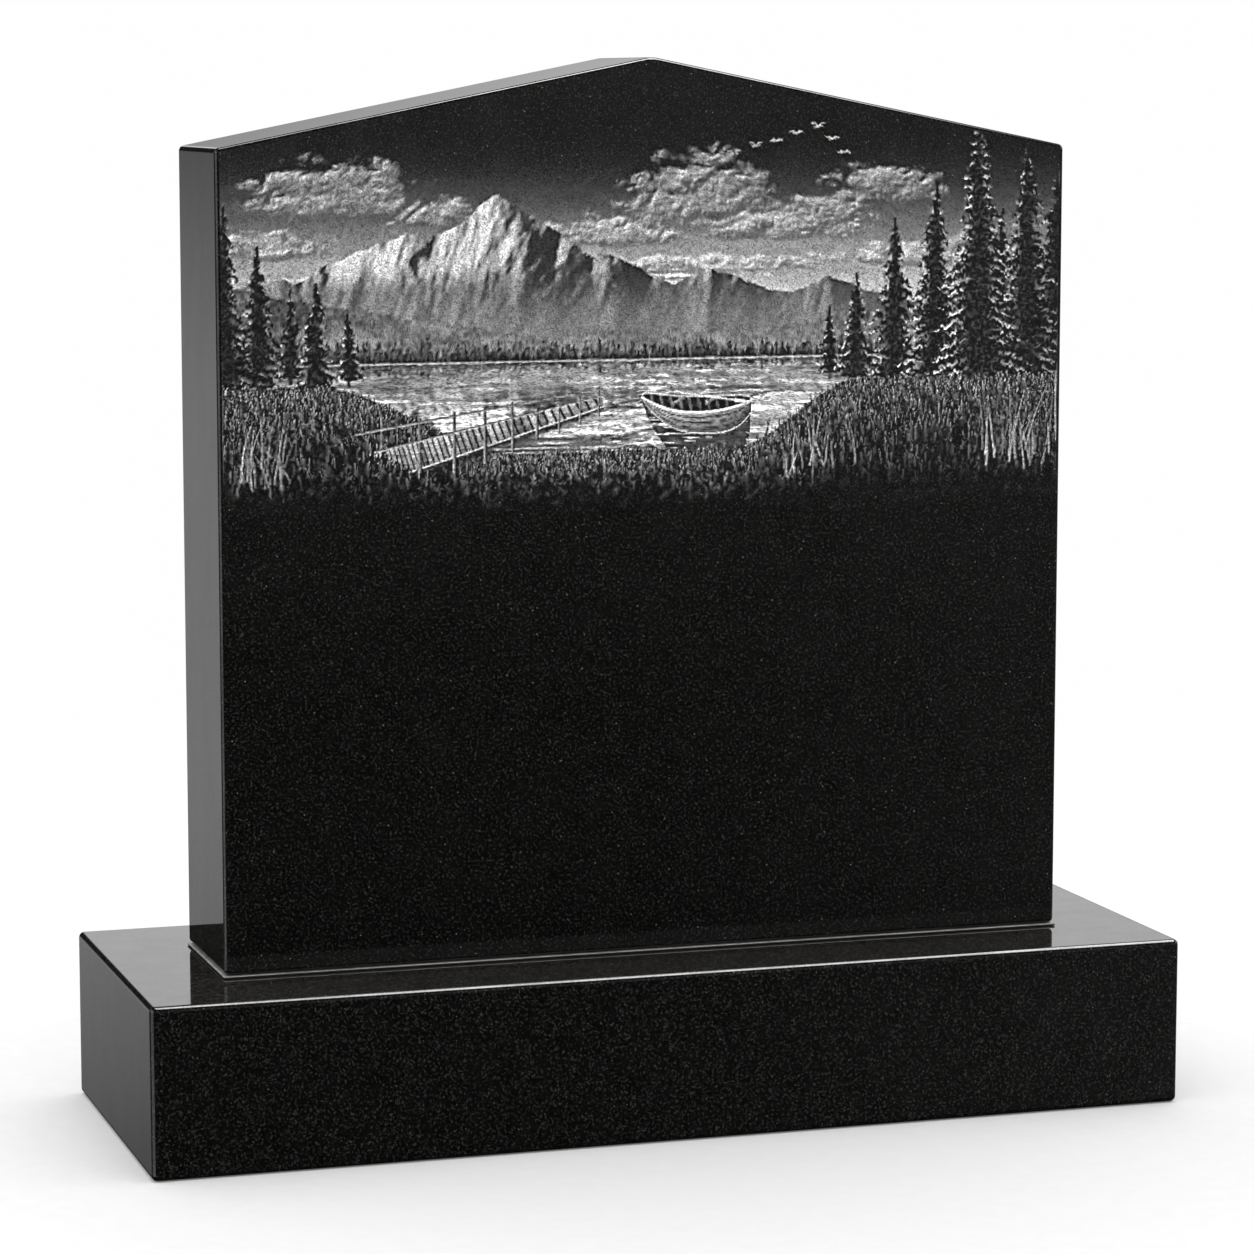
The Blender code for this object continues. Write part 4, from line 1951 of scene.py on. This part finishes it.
@dataclass(frozen=True)
class Compound:
    """Pale grey setting compound, smoothed by a tool: fine sand, a few pits and darker damp stretches."""

    name: str = "pale_setting_compound"
    light: Triple = (0.25, 0.245, 0.235)
    dark: Triple = (0.15, 0.147, 0.14)
    # painted shade: a near-black grey that colours the bead below the lip, as the shadow under it would look
    shade_below_lip: Triple = (0.030, 0.029, 0.028)
    lip: float = 0.1489  # above this height the bead is pale, and below it darkened with painted shade under the lip
    lip_edge: float = 0.0004
    matt: float = 0.62

    def material(self) -> bpy.types.Material:
        """Return the finish as a material: noise for sand and tone, pits darkened with painted shade, and
        painted shade below the lip.
        """
        material, sheet = new_sheet(self.name)
        sand = sheet.noise(sheet.places(), 1900.0, 2.0, 0.6)
        broad = sheet.noise(sheet.places(), 42.0, 3.0, 0.55)
        mixed = sheet.math("MULTIPLY_ADD", sand, 0.45, sheet.math("MULTIPLY", broad, 0.55))
        pit = sheet.add("TexVoronoi", {"Vector": sheet.places(), "Scale": 520.0}).outputs["Distance"]
        hollow = sheet.ease(pit, 0.16, 0.05)
        colour = sheet.mix(sheet.ease(mixed, 0.36, 0.62), self.dark, self.light)
        # painted shade: the pits are darkened in colour, up to halfway to the dark tone, as shade in a hollow
        colour = sheet.mix(sheet.math("MULTIPLY", hollow, 0.5), colour, self.dark)
        level = sheet.add("SeparateXYZ", {0: sheet.places()}).outputs[2]
        low = sheet.ease(level, self.lip, self.lip - self.lip_edge)
        # painted shade under the lip
        colour = sheet.mix(low, colour, self.shade_below_lip)
        height = sheet.math("SUBTRACT", sheet.math("MULTIPLY", sand, 0.4), hollow)
        bump = sheet.add("Bump", {"Strength": 0.4, "Distance": 0.0003, "Height": height})
        inputs = {"Base Color": colour, "Roughness": self.matt, "Normal": bump.outputs[0]}
        sheet.finish_with(sheet.add("BsdfPrincipled", inputs))
        return material


@dataclass(frozen=True)
class PaperFloor:
    """The studio's pale paper floor, which goes over into the white background some way from the stone."""

    name: str = "white_paper"
    half: float = 14.0
    drop: float = 0.0006  # below the stone's underside
    albedo: float = 0.395
    fill: float = 0.10
    near: float = 0.9
    far: float = 2.4

    def material(self) -> bpy.types.Material:
        """Return the paper: lit near the stone, with a little glow, and evenly white far from it."""
        material, sheet = new_sheet(self.name)
        place = sheet.add("TexCoord").outputs["Object"]
        distance = sheet.add("VectorMath", {0: place}, operation="LENGTH").outputs["Value"]
        fibre = sheet.noise(place, 60.0, 3.0)
        tone = sheet.ease(fibre, 0.2, 0.8, self.albedo - 0.008, self.albedo + 0.008)
        paper = sheet.add("BsdfDiffuse", {"Color": sheet.grey(tone)})
        glow = sheet.add("Emission", {"Strength": self.fill})
        lit = sheet.add("AddShader", {0: paper.outputs[0], 1: glow.outputs[0]})
        white = sheet.add("Emission", {"Strength": Studio.white})
        away = sheet.ease(distance, self.near, self.far)
        sheet.finish_with(sheet.add("MixShader", {0: away, 1: lit.outputs[0], 2: white.outputs[0]}))
        return material

    def build(self) -> bpy.types.Object:
        """Build the floor as one level sheet under the stone, and keep it out of the polish's reflections."""
        sides = ((-1.0, -1.0), (1.0, -1.0), (1.0, 1.0), (-1.0, 1.0))
        places = [(x * self.half, y * self.half, -self.drop) for x, y in sides]
        mesh = bpy.data.meshes.new("paper_floor")
        mesh.from_pydata(places, [], [(0, 1, 2, 3)])
        mesh.materials.append(self.material())
        made = bpy.data.objects.new("paper_floor", mesh)
        bpy.context.scene.collection.objects.link(made)
        made.visible_glossy = False
        return made


@dataclass(frozen=True)
class Panel:
    """One soft panel of the studio's surround, as the polish sees it.

    It spans the directions between two bearings, counted in degrees from straight behind the stone towards
    its right, and between two heights in degrees above the horizon. Outside them it fades to nothing, over so
    many degrees beside, below and above it.
    """

    left: float
    right: float
    low: float
    high: float
    strength: float
    beside: float = 4.0
    below: float = 4.0
    above: float = 4.0


@dataclass(frozen=True)
class Studio:
    """A white studio: even light on matt surfaces, and panels that the polished faces mirror."""

    white: float = 0.995
    daylight: float = 0.40
    overhead: float = 4.2
    dim: float = 0.013
    panels: tuple[Panel, ...] = (
        Panel(-17.0, -4.0, -9.0, -5.0, 0.44, 3.0, 9.2, 8.0),
        Panel(-70.0, -20.0, -14.0, -5.0, 0.12, 6.0, 10.0, 8.0),
        Panel(20.0, 80.0, -14.0, -5.0, 0.30, 14.0, 10.0, 8.0),
        Panel(-125.0, -85.0, -18.0, 20.0, 1.2, 12.0, 8.0, 10.0),
        Panel(4.0, 120.0, 10.5, 40.0, 1.06, 4.0, 8.5, 8.0),
        Panel(-120.0, -45.0, 10.0, 40.0, 0.8, 14.0, 8.0, 8.0),
        Panel(30.0, 150.0, 59.0, 85.0, 13.0, 6.0, 4.0, 3.0),
        Panel(100.0, 182.0, -1.0, 8.0, 0.14, 10.0, 8.0, 6.0),
        Panel(110.0, 152.0, -16.0, -8.0, 0.09, 12.0, 6.0, 8.0),
        Panel(-182.0, -128.0, 9.0, 24.0, 0.20, 1.0, 4.0, 6.0),
        Panel(128.0, 182.0, 9.0, 24.0, 0.20, 1.0, 4.0, 6.0),
        Panel(-182.0, 182.0, 80.0, 91.0, 8.0, 1.0, 1.5, 2.0),
    )

    def window(self, sheet: NodeSheet, angle: Socket, span: Pair, soft: Pair) -> Socket:
        """Lay a soft-edged window over an angle.

        Args:
            sheet: Where the nodes go.
            angle: The angle in degrees.
            span: Where the window starts and ends.
            soft: How far it fades before and after.

        Returns:
            1 inside and 0 well outside.
        """
        enter = sheet.ease(angle, span[0] - soft[0], span[0])
        leave = sheet.ease(angle, span[1], span[1] + soft[1], 1.0, 0.0)
        return sheet.math("MULTIPLY", enter, leave)

    def build(self) -> None:
        """Fill the world: white to the camera, even light to matt stone, and the panels to the polish."""
        world = bpy.data.worlds.new("studio")
        bpy.context.scene.world = world
        world.use_nodes = True
        sheet = NodeSheet(world.node_tree)
        parts = sheet.add("SeparateXYZ", {0: sheet.add("TexCoord").outputs["Generated"]})
        x, y, z = (parts.outputs[k] for k in range(3))
        bearing = sheet.math("DEGREES", sheet.math("ARCTAN2", x, y))
        height = sheet.math("DEGREES", sheet.math("ARCSINE", z))
        total = sheet.add("Value").outputs[0]
        total.default_value = self.dim
        for panel in self.panels:
            wide = self.window(sheet, bearing, (panel.left, panel.right), (panel.beside, panel.beside))
            tall = self.window(sheet, height, (panel.low, panel.high), (panel.below, panel.above))
            share = sheet.math("MULTIPLY", wide, tall)
            total = sheet.math("MULTIPLY_ADD", share, panel.strength, total)
        path = sheet.add("LightPath")
        overhead = sheet.math("POWER", sheet.math("MAXIMUM", z, 0.0), 2.0)
        daylight = sheet.math("MULTIPLY_ADD", overhead, self.overhead, self.daylight)
        seen = sheet.blend(path.outputs["Is Glossy Ray"], daylight, total)
        seen = sheet.blend(path.outputs["Is Camera Ray"], seen, self.white)
        sheet.finish_with(sheet.add("Background", {"Color": sheet.grey(seen)}), "OutputWorld")


@dataclass(frozen=True)
class ViewPoint:
    """Where the photographer stood: a long lens, a little above the stone's foot and to its left."""

    place: Triple = (-1.1068, -3.4935, 0.8970)
    turn: float = 17.59  # degrees to the right of straight ahead
    tilt: float = -7.36  # degrees above level
    focal_pixels: float = 4190.4
    image_pixels: float = 1254.0
    sensor: float = 36.0
    clip: Pair = (0.05, 60.0)

    def build(self) -> None:
        """Set up the camera and make it the scene's."""
        lens = bpy.data.cameras.new("photographer")
        lens.sensor_width = self.sensor
        lens.lens = self.focal_pixels / self.image_pixels * self.sensor
        lens.clip_start, lens.clip_end = self.clip
        camera = bpy.data.objects.new("photographer", lens)
        camera.location = self.place
        camera.rotation_euler = (math.radians(90.0 + self.tilt), 0.0, math.radians(-self.turn))
        bpy.context.scene.collection.objects.link(camera)
        bpy.context.scene.camera = camera


def measure(node: Node) -> tuple[Triple, float]:
    """Return the width, depth and height of a node's box, and the height of its underside."""
    low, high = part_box(node.value)
    return (high.x - low.x, high.y - low.y, high.z - low.z), low.z


def main() -> None:
    """Build the stone from the ground up, then the studio round it."""
    logging.basicConfig(level=logging.INFO, format="%(message)s")
    (base, _), (bed, bed_foot), (stone, foot) = (measure(node) for node in (Node.BASE, Node.BED, Node.TABLET))
    BaseBlock(*base).build(Granite(), SawnGranite())
    SettingBed(*bed, bed_foot).build(Compound())
    Tablet(stone[0], stone[1], foot).build(EtchedGranite())
    PaperFloor().build()
    Studio().build()
    ViewPoint().build()
    bpy.context.scene.view_settings.view_transform = "Standard"


if __name__ == "__main__":
    main()
